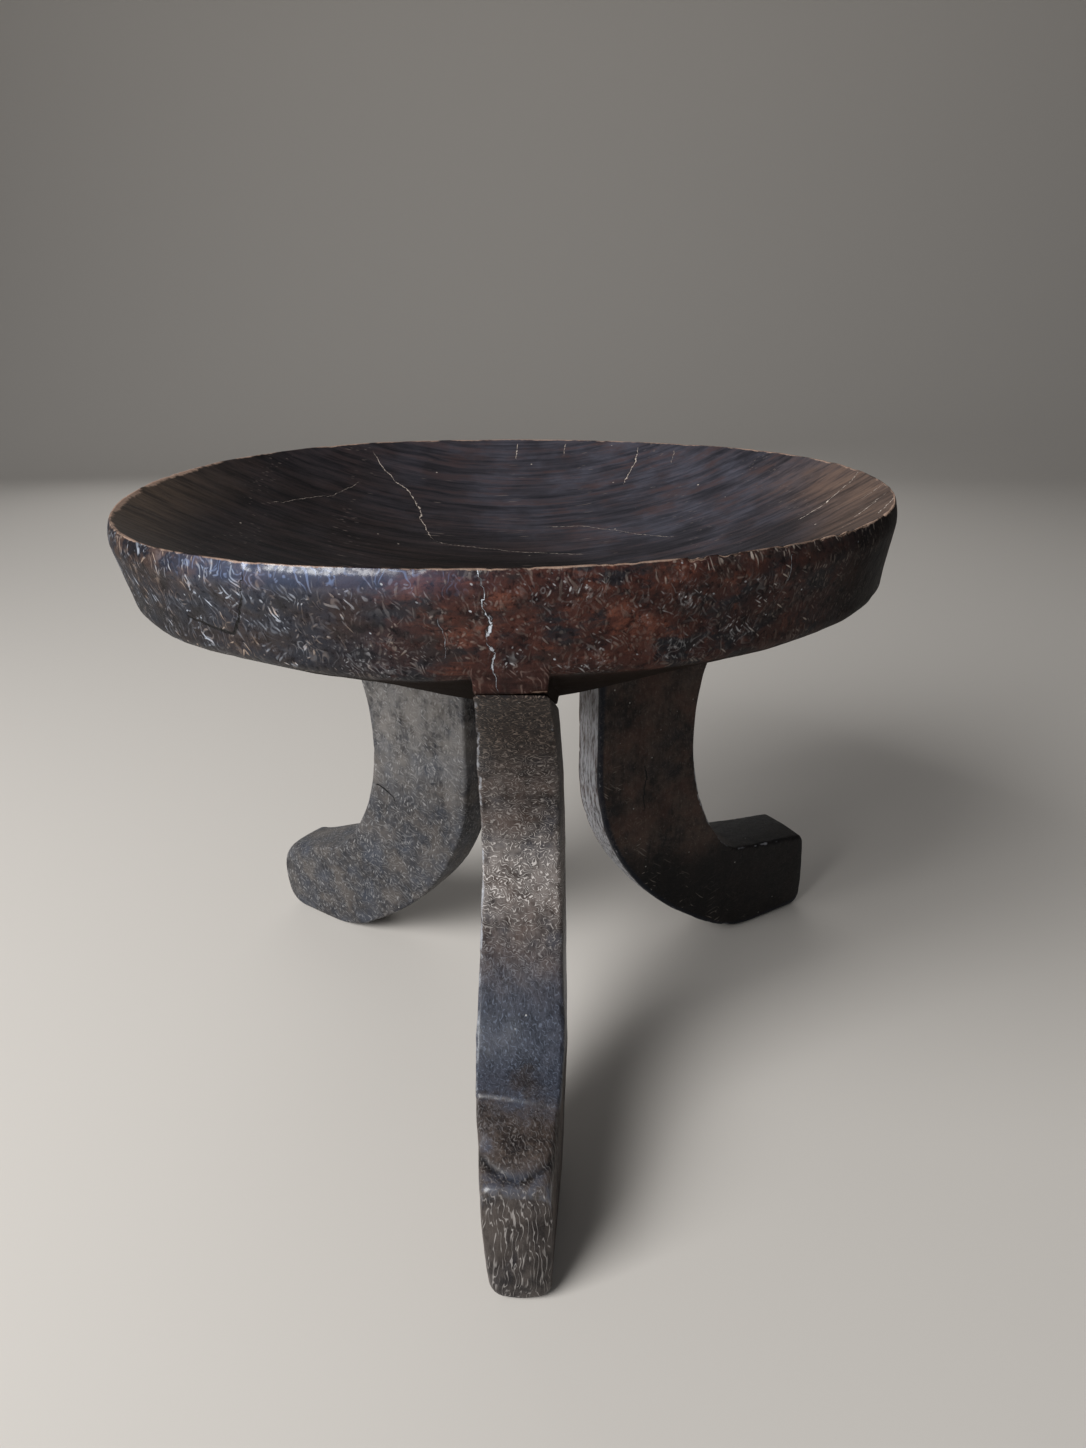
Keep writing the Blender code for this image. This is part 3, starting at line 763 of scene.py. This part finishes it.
class Value:
    """One output of a node. Sums, differences and products of values add math nodes."""

    def __init__(self, nodes, socket):
        self.nodes = nodes
        self.socket = socket

    def __add__(self, other):
        return self.nodes.math("ADD", self, other)

    def __radd__(self, other):
        return self.nodes.math("ADD", other, self)

    def __sub__(self, other):
        return self.nodes.math("SUBTRACT", self, other)

    def __rsub__(self, other):
        return self.nodes.math("SUBTRACT", other, self)

    def __mul__(self, other):
        return self.nodes.math("MULTIPLY", self, other)


class Finish:
    """Adds nodes to one node tree. Every method that adds a node gives back the value of one output."""

    def __init__(self, tree, groups=None):
        self.tree = tree
        self.groups = groups

    def put(self, socket, value):
        """Links a value to an input, or writes a plain number or tone into the input."""
        if isinstance(value, Value):
            self.tree.links.new(value.socket, socket)
        else:
            socket.default_value = value

    def add(self, kind, inputs, output=0, **settings):
        """Adds a node with its settings, feeds the named or numbered inputs and gives one output."""
        node = self.tree.nodes.new("ShaderNode" + kind)
        for label, setting in settings.items():
            setattr(node, label, setting)
        for label, value in inputs.items():
            self.put(node.inputs[label], value)
        return Value(self, node.outputs[output])

    def math(self, operation, first, second=0.0, clamp=False):
        return self.add("Math", {0: first, 1: second}, operation=operation, use_clamp=clamp)

    def larger(self, first, second):
        return self.math("MAXIMUM", first, second)

    def band(self, value, low, high):
        """Smooth rise from nought at low to one at high, or the other way where low is the greater."""
        inputs = {"Value": value, "From Min": low, "From Max": high}
        return self.add("MapRange", inputs, "Result", interpolation_type="SMOOTHSTEP")

    def mix(self, share, first, second):
        return self.add("Mix", {0: share, 6: first, 7: second}, 2, data_type="RGBA")

    def over(self, below, share, colour):
        """Lays a tone over a colour, as strongly as the share says."""
        return self.mix(share, below, tone(*colour))

    def place(self):
        return self.add("TexCoord", {}, "Object")

    def height(self, place):
        return self.add("SeparateXYZ", {0: place}, "Z")

    def field(self, name):
        return self.add("Attribute", {}, "Fac", attribute_name=name)

    def cells(self, place, size, turn=(0, 0, 0), shift=(0, 0, 0)):
        """Turns a place and measures it in cells of the given size, so that a pattern has real sizes."""
        turned = [math.radians(angle) for angle in turn]
        inputs = {"Vector": place, "Location": shift, "Rotation": turned, "Scale": size}
        return self.add("Mapping", inputs, vector_type="TEXTURE")

    def noise(self, cells, detail=2.0, roughness=0.5, output="Fac"):
        inputs = {"Vector": cells, "Scale": 1.0, "Detail": detail, "Roughness": roughness}
        return self.add("TexNoise", inputs, output)

    def bent(self, place, size, amount):
        """Moves a place a little way by a noise, so that straight marks bend."""
        push = self.noise(self.cells(place, (size,) * 3), 1.0, output="Color")
        return self.add("VectorMath", {0: push, 1: (amount,) * 3, 2: place}, operation="MULTIPLY_ADD")

    def group(self, tree, **values):
        return self.add("Group", values, node_tree=tree)

    def marks(self, cells, width, share):
        return self.group(self.groups["marks"], Place=cells, Width=width, Share=share)

    def curls(self, cells, curl, width, gaps):
        return self.group(self.groups["curls"], Place=cells, Curl=curl, Width=width, Gaps=gaps)


def new_group(name, inputs):
    """A shader group with one mask for its output. Gives its tree, its node adder, its inputs and its
    output."""
    tree = bpy.data.node_groups.new(name, "ShaderNodeTree")
    for label in inputs:
        kind = "NodeSocketVector" if label == "Place" else "NodeSocketFloat"
        tree.interface.new_socket(label, in_out="INPUT", socket_type=kind)
    tree.interface.new_socket("Mask", in_out="OUTPUT", socket_type="NodeSocketFloat")
    nodes = Finish(tree)
    given = tree.nodes.new("NodeGroupInput").outputs
    mask = tree.nodes.new("NodeGroupOutput").inputs["Mask"]
    return tree, nodes, [Value(nodes, given[label]) for label in inputs], mask


def curled_marks():
    """Fine curled lines: level lines of a slope with hills on it, broken where a second noise is low."""
    tree, nodes, given, mask = new_group("curled marks", ("Place", "Curl", "Width", "Gaps"))
    place, curl, width, gaps = given
    slope = nodes.add("VectorMath", {0: place, 1: (0.40, 0.30, 0.70)}, "Value", operation="DOT_PRODUCT")
    hills = nodes.noise(nodes.cells(place, (1.7, 1.7, 1.7)), 0.6)
    away = nodes.math("ABSOLUTE", nodes.math("FRACT", slope + hills * curl) - 0.5)
    line = nodes.band(away, width, width * 0.3)
    breaks = nodes.noise(nodes.cells(place, (1.4, 1.4, 1.4), shift=(3, 7, 1)), 1.0)
    nodes.put(mask, line * nodes.band(breaks, gaps, gaps + 0.2))
    return tree


def short_marks():
    """Separate dashes or dots of unlike strength: a spot round the seed of some cells of a Voronoi
    pattern."""
    tree, nodes, (place, width, share), mask = new_group("short marks", ("Place", "Width", "Share"))
    distance = nodes.add("TexVoronoi", {"Vector": place, "Scale": 1.0}, "Distance")
    colour = Value(nodes, distance.socket.node.outputs["Color"])
    chance = nodes.add("SeparateColor", {0: colour})
    strength = Value(nodes, chance.socket.node.outputs[1]) * 0.75 + 0.25
    spot = nodes.band(distance, width, width * 0.5)
    nodes.put(mask, spot * nodes.math("LESS_THAN", chance, share) * strength)
    return tree


def wood_fibres():
    """Fibres: two noises on cells that are long the way of the grain, the second one finer."""
    tree, nodes, (place,), mask = new_group("wood fibres", ("Place",))
    fine = nodes.noise(nodes.cells(place, (0.35, 0.3, 0.3)), 2.0, 0.6)
    nodes.put(mask, nodes.noise(place, 3.0, 0.6) * 0.6 + fine * 0.4)
    return tree


def crack_line():
    """A crack: a band about the line where the signed distance is nought, with a wavering and beaded
    edge."""
    tree, nodes, given, mask = new_group("crack line", ("Place", "Side", "Reach", "Width"))
    place, side, reach, width = given
    waver = nodes.noise(nodes.cells(place, (0.007, 0.007, 0.007)), 4.0, 0.65) - 0.5
    away = nodes.math("ABSOLUTE", side + waver * 4.5)
    beads = nodes.noise(nodes.cells(place, (0.0024, 0.0024, 0.0024)), 3.0, 0.6)
    wide = width * reach * (nodes.band(beads, 0.42, 0.66) * 0.7 + 0.4)
    faint = nodes.band(beads, 0.34, 0.56) * 0.6 + 0.4
    nodes.put(mask, nodes.band(away, wide, wide * 0.3) * reach * faint)
    return tree


def split_line():
    """A split: a thin dark line where the signed distance is nought, wavering a little."""
    tree, nodes, (place, side, reach), mask = new_group("split line", ("Place", "Side", "Reach"))
    waver = nodes.noise(nodes.cells(place, (0.005, 0.005, 0.005)), 2.0) - 0.5
    away = nodes.math("ABSOLUTE", side + waver * 1.6)
    nodes.put(mask, nodes.band(away, 0.80, 0.30) * nodes.band(reach, 0.0, 0.4))
    return tree


def edge_wear():
    """Wear: an edge's own field, raised and lowered by a fine noise, then cut to a mask."""
    tree, nodes, (place, edge, amount), mask = new_group("edge wear", ("Place", "Edge", "Amount"))
    uneven = nodes.noise(nodes.cells(place, (0.0035, 0.0035, 0.0035)), 4.0, 0.65)
    nodes.put(mask, nodes.band(edge + (uneven - 0.5) + (amount - 1.0), 0.35, 0.75))
    return tree


def new_finish(name, groups, specular, coat_roughness=0.2, sheen=(1.0, 1.0, 1.0)):
    """A satin material. Gives it, its node adder and its shader, whose plain values are set here."""
    material = bpy.data.materials.new(name)
    material.use_nodes = True
    shader = material.node_tree.nodes["Principled BSDF"]
    shader.inputs["Specular IOR Level"].default_value = specular
    shader.inputs["Specular Tint"].default_value = (*sheen, 1.0)
    shader.inputs["Coat Roughness"].default_value = coat_roughness
    return material, Finish(material.node_tree, groups), shader


def add_bump(nodes, shader, height, depth):
    nodes.put(shader.inputs["Normal"], nodes.add("Bump", {"Distance": depth, "Height": height}, "Normal"))


def seat_wood(groups):
    """The seat: a near-black satin dish, and a wall of blue-black, brown and rust patches covered in pale
    strokes."""
    material, nodes, shader = new_finish("dark carved seat wood", groups, 0.03, 0.16, (0.8, 0.9, 1.0))
    band, over, blend, larger, field = nodes.band, nodes.over, nodes.mix, nodes.larger, nodes.field
    cells, noise, bent, marks, curls = nodes.cells, nodes.noise, nodes.bent, nodes.marks, nodes.curls
    place = nodes.place()
    in_dish, boss, rim_band = field("in_dish"), field("boss"), field("rim_band")
    rust, bluing, scraped = field("rust"), field("bluing"), field("scraped")
    fibres = nodes.group(groups["fibres"], Place=cells(place, (0.04, 0.0022, 0.006)))
    bands = noise(cells(bent(place, 0.03, 0.006), (0.11, 0.005, 0.015)), 4.0, 0.6)
    broad = noise(cells(place, (0.03, 0.03, 0.022)), 4.0, 0.55)
    small = noise(cells(place, (0.012, 0.012, 0.008)), 5.0, 0.65)
    other = noise(cells(place, (0.018, 0.014, 0.01), shift=(0.3, 0.2, 0.5)), 5.0, 0.65)
    fine = noise(cells(place, (0.0025, 0.0025, 0.0025)), 3.0, 0.65)

    # Ground tones of the wall
    wall = blend(band(broad, 0.38, 0.62), tone(50, 39, 36), tone(38, 37, 41))
    wall = over(wall, bluing * band(small, 0.34, 0.66) * 0.9, (35, 39, 49))
    wall = over(wall, bluing * rim_band * band(other, 0.46, 0.6) * 0.6, (104, 82, 70))
    wall = over(wall, rust * band(other, 0.4, 0.56) * 0.9, (70, 42, 36))
    streaks = band(fibres, 0.44, 0.6) * band(small, 0.44, 0.6) * band(other, 0.38, 0.52)
    wall = over(wall, rust * streaks * 0.7, (108, 66, 53))
    wall = over(wall, band(small, 0.45, 0.32) * 0.72, (17, 16, 19))
    wall = over(wall, band(fine, 0.46, 0.32) * 0.6, (16, 15, 17))
    wall = over(wall, band(nodes.height(place), 0.306, 0.284) * 0.3, (22, 20, 21))
    # Painted shade over the far right and the far left of the wall
    wall = over(wall, field("painted_shade") * 0.75, (15, 13, 13))

    # Pale strokes of the tools and of long use, each way in its own layer
    warped = bent(place, 0.009, 0.0075)
    slanting = marks(cells(warped, (0.016, 0.0018, 0.0018), (0, 46, -35)), 0.36, 0.48)
    upright = marks(cells(warped, (0.011, 0.0016, 0.0016), (0, 80, -35)), 0.4, 0.5)
    crossing = marks(cells(warped, (0.013, 0.0017, 0.0017), (0, -30, -60)), 0.36, 0.34)
    curled = curls(cells(warped, (0.0038, 0.0038, 0.0038), (40, 60, 0)), 5.0, 0.17, 0.46)
    scuffs = marks(cells(bent(place, 0.012, 0.005), (0.01, 0.0013, 0.0013), (0, 35, 40)), 0.3, 0.56)
    flecks = marks(cells(place, (0.0042, 0.0042, 0.0026), (25, 30, 0)), 0.17, 0.08)
    scores = marks(cells(bent(place, 0.012, 0.005), (0.013, 0.0014, 0.0014), (0, -55, 65)), 0.3, 0.54)
    crowd = band(noise(cells(place, (0.012, 0.012, 0.01), shift=(0.1, 0.4, 0.2)), 2.0), 0.38, 0.6)
    cluster = band(noise(cells(place, (0.017, 0.017, 0.014), shift=(0.7, 0.1, 0.6)), 3.0), 0.46, 0.6)
    strokes = slanting * (bluing * 0.82 + 0.24)
    strokes = larger(strokes, crossing * (bluing * 0.45 + 0.28))
    strokes = larger(strokes, curled * (bluing * 0.14 + 0.08))
    strokes = strokes * (crowd * 0.8 + 0.2)
    strokes = larger(strokes, upright * (rim_band * 0.95 + 0.12))
    strokes = larger(strokes, scuffs * cluster * (scraped * 0.75 + 0.25))
    stroke_tone = blend(band(other, 0.44, 0.58), tone(186, 193, 206), tone(186, 164, 147))
    stroke_tone = blend(bluing, tone(172, 160, 150), stroke_tone)
    # The painted shade dims the strokes too
    strokes = strokes * (1.0 - field("painted_shade") * 0.65)
    wall = blend(strokes, wall, stroke_tone)
    # Painted bluish highlight on the rim's shoulder at the front left, streaked by the strokes
    highlight_streaks = larger(curled, larger(slanting, crossing)) * 0.7 + 0.25
    wall = over(wall, field("polish_and_painted_highlight") * highlight_streaks, (96, 110, 142))
    scrapes = field("scrapes")
    powder = band(fine, 0.52, 0.64) * band(small, 0.46, 0.6) * 0.25
    chalky = scuffs * 0.8 + scores * 0.8 + curled * 0.2 + powder
    wall = over(wall, scrapes * 0.7, (26, 25, 28))
    wall = over(wall, scrapes * chalky, (196, 196, 198))
    red_brown = blend(band(fibres * 0.5 + small * 0.5, 0.38, 0.6), tone(30, 21, 20), tone(62, 41, 37))
    wall = blend(boss * 0.75, wall, red_brown)
    wall = over(wall, boss * larger(curled, scuffs) * 0.25, (150, 128, 118))
    wall = over(wall, flecks, (190, 194, 200))
    # Painted shade: the underside near-black
    wall = blend(field("underside"), wall, blend(fibres, tone(17, 13, 11), tone(40, 30, 24)))

    # The dish, with its grain from left to right
    grain = bands * 0.6 + fibres * 0.4
    streaked = band(grain, 0.33, 0.67)
    dish = blend(streaked, tone(9, 7, 7), tone(37, 28, 24))
    soft = band(broad, 0.6, 0.36) * 0.35 + 0.45
    # Painted bluish sheen, strongest towards the back right of the dish
    dish = blend(field("sheen_side") * soft, dish, blend(streaked, tone(50, 50, 57), tone(86, 86, 97)))
    warm = band(bands * 0.6 + other * 0.4, 0.48, 0.62)
    dish = over(dish, field("sheen_side") * warm * 0.6, (66, 48, 45))
    pale_grain = streaked * 0.75 + 0.2
    # Painted light on the dish's left inner wall, streaked with the grain
    dish = over(dish, field("painted_light_left") * pale_grain, (84, 70, 58))
    dish = over(dish, field("right_side") * pale_grain, (112, 92, 80))
    hair = marks(cells(bent(place, 0.03, 0.006), (0.05, 0.002, 0.002), (0, 0, 6)), 0.24, 0.22)
    dish = over(dish, hair * 0.55, (120, 108, 102))
    dots = marks(cells(place, (0.013, 0.013, 0.013)), 0.055, 0.35)
    dish = over(dish, dots, (200, 188, 176))
    crack_place = {"Side": field("crack_side"), "Reach": field("crack_reach"), "Place": place}
    pale_crack = nodes.group(groups["crack"], Width=0.9, **crack_place)
    dish = over(dish, pale_crack, (200, 186, 174))
    dark_edge = nodes.group(groups["crack"], Width=2.6, **crack_place)
    wall = over(wall, dark_edge * 0.7, (20, 18, 20))
    filled = nodes.group(groups["crack"], Width=1.25, **crack_place)
    wall = over(wall, filled, (196, 202, 210))
    split = nodes.group(groups["split"], Side=field("dark_side"), Reach=field("dark_reach"), Place=place)
    wall = over(wall, split, (10, 9, 10))

    worn = nodes.group(groups["wear"], Place=place, Edge=field("worn"), Amount=0.95)
    colour = blend(in_dish, wall, dish)
    colour = blend(worn * 0.8, colour, blend(fine, tone(140, 106, 88), tone(190, 168, 152)))
    nodes.put(shader.inputs["Base Color"], colour)
    roughness = 0.4 + fine * 0.18 + worn * 0.2 + in_dish * 0.14 + field("underside") * 0.3
    nodes.put(shader.inputs["Roughness"], roughness)
    lit = nodes.math("SUBTRACT", 1.0, field("painted_shade") * 1.6, clamp=True)
    shine = (bluing * 0.3 + rim_band * 0.25 + 0.15) * lit
    shine = shine * (band(fine, 0.3, 0.6) * 0.7 + 0.3)
    polish_and_painted_highlight = field("polish_and_painted_highlight") * (band(fine, 0.42, 0.62) * 0.44 + 0.1)
    bare = nodes.math("SUBTRACT", 1.0, field("underside") + boss * 0.5 + in_dish, clamp=True)
    nodes.put(shader.inputs["Coat Weight"], nodes.math("ADD", shine * bare, polish_and_painted_highlight, clamp=True))
    bumps = fine * 0.25 + strokes * 0.35 + small * 0.5
    relief = fibres * 0.15 + bumps * (1.0 - in_dish * 0.85) + larger(filled, split) * -0.6
    add_bump(nodes, shader, relief, 0.0012)
    return material


# Each leg's finish: its dark and middle tone, a warm and a cool one over them, its pale marks, the two
# tones of its toe end, the size and strength of its curls, the range of its mottling, how strong its hairs,
# blue ankle, warm instep and scratches are, how much painted light its inner face and its top part get, and
# how dark its foot is. The blue ankle's switch also turns on the painted shadow of the seat over the head
LEG_LOOKS = {
    "leg_front": {
        "dark": (44, 38, 36), "middle": (94, 87, 85), "warm": (98, 83, 76), "cool": (70, 74, 84),
        "pale": (182, 176, 172), "end": ((34, 30, 29), (70, 64, 60)), "curl_size": 0.0019, "curls": 0.80,
        "mottling": (0.40, 0.60), "hairs": 0.0, "bluing": 1.0, "warmth": 0.9, "scratches": 0.0,
        "inside": 0.2, "painted_upper_light": 0.0, "foot": 0.0},
    "leg_rear_right": {
        "dark": (30, 24, 22), "middle": (78, 64, 57), "warm": (84, 58, 49), "cool": (32, 32, 36),
        "pale": (150, 140, 131), "end": ((14, 14, 16), (30, 29, 30)), "curl_size": 0.0030, "curls": 0.08,
        "mottling": (0.38, 0.62), "hairs": 0.16, "bluing": 0.0, "warmth": 0.0, "scratches": 1.0,
        "inside": 0.9, "painted_upper_light": 0.0, "foot": 0.92},
    "leg_rear_left": {
        "dark": (34, 34, 38), "middle": (78, 77, 79), "warm": (102, 95, 89), "cool": (70, 76, 88),
        "pale": (184, 183, 183), "end": ((40, 39, 40), (80, 78, 77)), "curl_size": 0.0030, "curls": 0.24,
        "mottling": (0.30, 0.70), "hairs": 0.42, "bluing": 0.0, "warmth": 0.0, "scratches": 0.2,
        "inside": 0.0, "painted_upper_light": 0.50, "foot": 0.0},
}


def leg_wood(leg, groups):
    """A leg: upright fibres in several tones, curled pale lines, a blue ankle, a warm instep and a fibrous
    toe end."""
    look = LEG_LOOKS[leg]
    name = leg.replace("_", " ") + " wood"
    material, nodes, shader = new_finish(name, groups, 0.15, 0.26, (0.8, 0.9, 1.0))
    band, over, blend, larger, field = nodes.band, nodes.over, nodes.mix, nodes.larger, nodes.field
    cells, noise, bent, marks, curls = nodes.cells, nodes.noise, nodes.bent, nodes.marks, nodes.curls
    place = nodes.place()
    toe_end, crease = field("toe_end"), field("crease")
    fibres = nodes.group(groups["fibres"], Place=cells(bent(place, 0.012, 0.003), (0.002, 0.002, 0.016)))
    broad = noise(cells(place, (0.02, 0.02, 0.026)), 4.0, 0.6)
    other = noise(cells(place, (0.018, 0.018, 0.02), shift=(0.4, 0.1, 0.7)), 4.0, 0.6)
    small = noise(cells(place, (0.005, 0.005, 0.006)), 4.0, 0.6)
    fine = noise(cells(place, (0.0022, 0.0022, 0.0022)), 3.0, 0.65)
    height = nodes.height(place) + (broad - 0.5) * 0.03
    mottle = broad * 0.4 + small * 0.35 + fibres * 0.25
    wood = blend(band(mottle, *look["mottling"]), tone(*look["dark"]), tone(*look["middle"]))
    wood = blend(band(other, 0.46, 0.66) * 0.45, wood, tone(*look["warm"]))
    wood = blend(band(other, 0.5, 0.3) * 0.45, wood, tone(*look["cool"]))
    # Painted light on the middle and top part of the leg, broken up by the mottling
    painted_upper_light = band(height, 0.1, 0.19) * band(height, 0.262, 0.232) * band(mottle, 0.36, 0.56) * look["painted_upper_light"]
    wood = over(wood, painted_upper_light, (146, 142, 138))

    # From the head down: the painted shadow of the seat over the head, the pale curled part, the blue ankle,
    # the warm instep and the toe's end
    painted_shade = band(height, 0.205, 0.25) * look["bluing"]
    wood = blend(painted_shade * 0.9, wood, blend(band(fibres, 0.4, 0.6), tone(22, 18, 16), tone(48, 39, 35)))
    ankle = band(height, 0.056, 0.068) * band(height, 0.124, 0.086) * look["bluing"]
    ankle_tone = blend(band(fibres * 0.6 + broad * 0.4, 0.34, 0.66), tone(28, 31, 38), tone(66, 70, 82))
    wood = blend(ankle * 0.9, wood, ankle_tone)
    instep = band(height, 0.068, 0.058) * (1.0 - toe_end) * look["warmth"]
    worked = band(broad * 0.5 + fibres * 0.35 + small * 0.15, 0.38, 0.62)
    wood = blend(instep, wood, blend(worked, tone(34, 29, 28), tone(82, 70, 62)))
    foot = band(height, 0.096, 0.066) * look["foot"]
    wood = blend(foot, wood, blend(fibres, tone(12, 10, 10), tone(22, 19, 18)))
    end = blend(band(mottle, 0.4, 0.6), tone(*look["end"][0]), tone(*look["end"][1]))
    wood = blend(toe_end * 0.9, wood, end)
    # Painted light on the inner face, over its pale fibres
    painted_light_strip = field("inner_face") * band(fibres, 0.36, 0.58) * look["inside"]
    wood = over(wood, painted_light_strip, (172, 173, 178))
    wood = over(wood, field("inner_edge") * look["inside"], (24, 27, 36))
    # Painted shade in the hollow across the front toe
    wood = over(wood, field("hollow") * 0.9, (18, 16, 17))
    # Painted bluish highlight on the front toe's crest
    wood = over(wood, field("crest") * band(small, 0.36, 0.6) * 0.6, (70, 77, 92))

    warped = bent(place, 0.006, 0.003)
    curled = curls(cells(warped, (look["curl_size"],) * 3), 5.0, 0.21, 0.34)
    bright = band(height, 0.118, 0.144) * band(height, 0.186, 0.16) * look["bluing"]
    calm = ankle * 0.9 + toe_end * 0.95 + instep * 0.92
    calm = nodes.math("SUBTRACT", 1.0, calm, clamp=True)
    wood = over(wood, bright * band(small, 0.2, 0.74) * 0.62, (150, 143, 139))
    lines = curled * calm * (bright * 0.4 + 0.6) * look["curls"]
    hairs = marks(cells(warped, (0.0016, 0.0016, 0.006), (18, 10, 0)), 0.38, 0.42)
    strands = marks(cells(warped, (0.0016, 0.0016, 0.0052), (-35, -40, 20)), 0.38, 0.38)
    wavy = bent(place, 0.011, 0.003)
    streaks = curls(cells(wavy, (0.001, 0.001, 0.016), (-4, 6, 0)), 2.4, 0.16, 0.37)
    sloping = curls(cells(wavy, (0.001, 0.001, 0.014), (-42, 0, 6)), 2.4, 0.18, 0.37)
    dashes = larger(hairs, strands) * look["hairs"]
    where = toe_end * 0.5 + ankle * 0.36
    where = where * (1.0 - foot * 0.8)
    dashes = larger(dashes, streaks * where)
    dashes = larger(dashes, sloping * instep * 0.28)
    rubbed = marks(cells(wavy, (0.024, 0.0018, 0.0018), (0, 38, 30)), 0.26, 0.46)
    slashes = marks(cells(wavy, (0.02, 0.0018, 0.0018), (0, -18, 30)), 0.26, 0.42)
    pale_marks = larger(lines, dashes) * (1.0 - foot * 0.7)
    scratch = larger(rubbed, slashes) * field("back_curve") * look["scratches"]
    pale = blend(bright, tone(*look["pale"]), tone(216, 210, 206))
    pale = blend(ankle, blend(painted_shade, pale, tone(150, 134, 122)), tone(118, 128, 146))
    wood = blend(pale_marks, wood, pale)
    wood = over(wood, scratch * 0.55, (178, 168, 158))
    flecks = marks(cells(place, (0.005, 0.005, 0.005)), 0.12, 0.12)
    wood = over(wood, flecks * 0.8, (196, 194, 190))
    wood = over(wood, crease * band(fine, 0.44, 0.62) * 0.3, (170, 164, 160))
    split = nodes.group(groups["split"], Side=field("dark_side"), Reach=field("dark_reach"), Place=place)
    wood = over(wood, split, (12, 11, 12))
    worn = nodes.group(groups["wear"], Place=place, Edge=field("worn"), Amount=0.7)
    wood = blend(worn * 0.8, wood, blend(fine, tone(120, 120, 124), tone(196, 200, 208)))
    nodes.put(shader.inputs["Base Color"], wood)
    nodes.put(shader.inputs["Roughness"], 0.42 + fine * 0.18)
    polish = ankle * 0.5 + field("crest") * 0.8 + 0.06
    nodes.put(shader.inputs["Coat Weight"], polish)
    relief = fibres * 0.25 + fine * 0.25 + pale_marks * 0.4 + small * 0.4
    add_bump(nodes, shader, relief * (1.0 - ankle * 0.6), 0.001)
    return material


def floor_finish():
    """A plain pale floor, without any pattern."""
    material, _, shader = new_finish("pale floor", None, 0.2)
    shader.inputs["Base Color"].default_value = (0.60, 0.57, 0.53, 1.0)
    shader.inputs["Roughness"].default_value = 0.8
    return material


# Stage

def add_floor():
    """A pale floor that turns up into a backdrop: flat, then a quarter circle, then upright."""
    turn = np.linspace(0, math.pi / 2, 24)
    back, bend, top = 2.2, 1.4, 4.0
    y = np.concatenate([[-5.0, -1.0], back + bend * np.sin(turn), [back + bend]])
    z = np.concatenate([[0.0, 0.0], bend - bend * np.cos(turn), [top]])
    x = np.array([-6.0, 6.0])
    points = np.stack(np.broadcast_arrays(x[None, :], y[:, None], z[:, None]), axis=-1)
    rows = len(y)
    index = np.arange(rows * 2).reshape(rows, 2)
    quads = np.stack([index[:-1, 0], index[:-1, 1], index[1:, 1], index[1:, 0]], axis=-1)
    mesh = bpy.data.meshes.new("floor")
    mesh.from_pydata(points.reshape(-1, 3).tolist(), [], quads.tolist())
    mesh.shade_smooth()
    floor = bpy.data.objects.new("floor", mesh)
    floor.data.materials.append(floor_finish())
    bpy.context.scene.collection.objects.link(floor)


def add_lamp(name, place, size, power, target):
    lamp = bpy.data.lights.new(name, "AREA")
    lamp.shape = "SQUARE"
    lamp.size = size
    lamp.energy = power
    item = bpy.data.objects.new(name, lamp)
    item.location = place
    item.rotation_euler = (Vector(target) - Vector(place)).to_track_quat("-Z", "Y").to_euler()
    bpy.context.scene.collection.objects.link(item)


def add_camera():
    camera = bpy.data.objects.new("camera", bpy.data.cameras.new("camera"))
    camera.data.lens = LENS
    camera.data.clip_start = 0.01
    camera.location = EYE
    camera.rotation_euler = (math.pi / 2 - EYE_PITCH, 0.0, 0.0)
    bpy.context.scene.collection.objects.link(camera)
    bpy.context.scene.camera = camera


def light_scene():
    scene = bpy.context.scene
    scene.view_settings.view_transform = "Standard"
    world = scene.world or bpy.data.worlds.new("studio")
    scene.world = world
    world.use_nodes = True
    world.node_tree.nodes["Background"].inputs["Color"].default_value = (0.80, 0.80, 0.82, 1.0)
    world.node_tree.nodes["Background"].inputs["Strength"].default_value = 0.15
    add_lamp("key", (-1.3, -1.1, 1.35), 1.25, 60.0, (0.0, 0.0, 0.2))
    add_lamp("back light", (-0.3, 1.8, 1.2), 2.0, 8.0, (0.0, 0.0, 0.25))


def main():
    add_camera()
    light_scene()
    add_floor()
    pieces = {"seat": carve_seat()}
    for leg in LEGS:
        pieces[leg] = carve_leg(leg)
    groups = {"curls": curled_marks(), "marks": short_marks(), "fibres": wood_fibres(), "crack": crack_line(),
              "split": split_line(), "wear": edge_wear()}
    for node, piece in pieces.items():
        piece.data.materials.append(seat_wood(groups) if node == "seat" else leg_wood(node, groups))
        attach(piece, "root")
        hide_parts(node)


main()
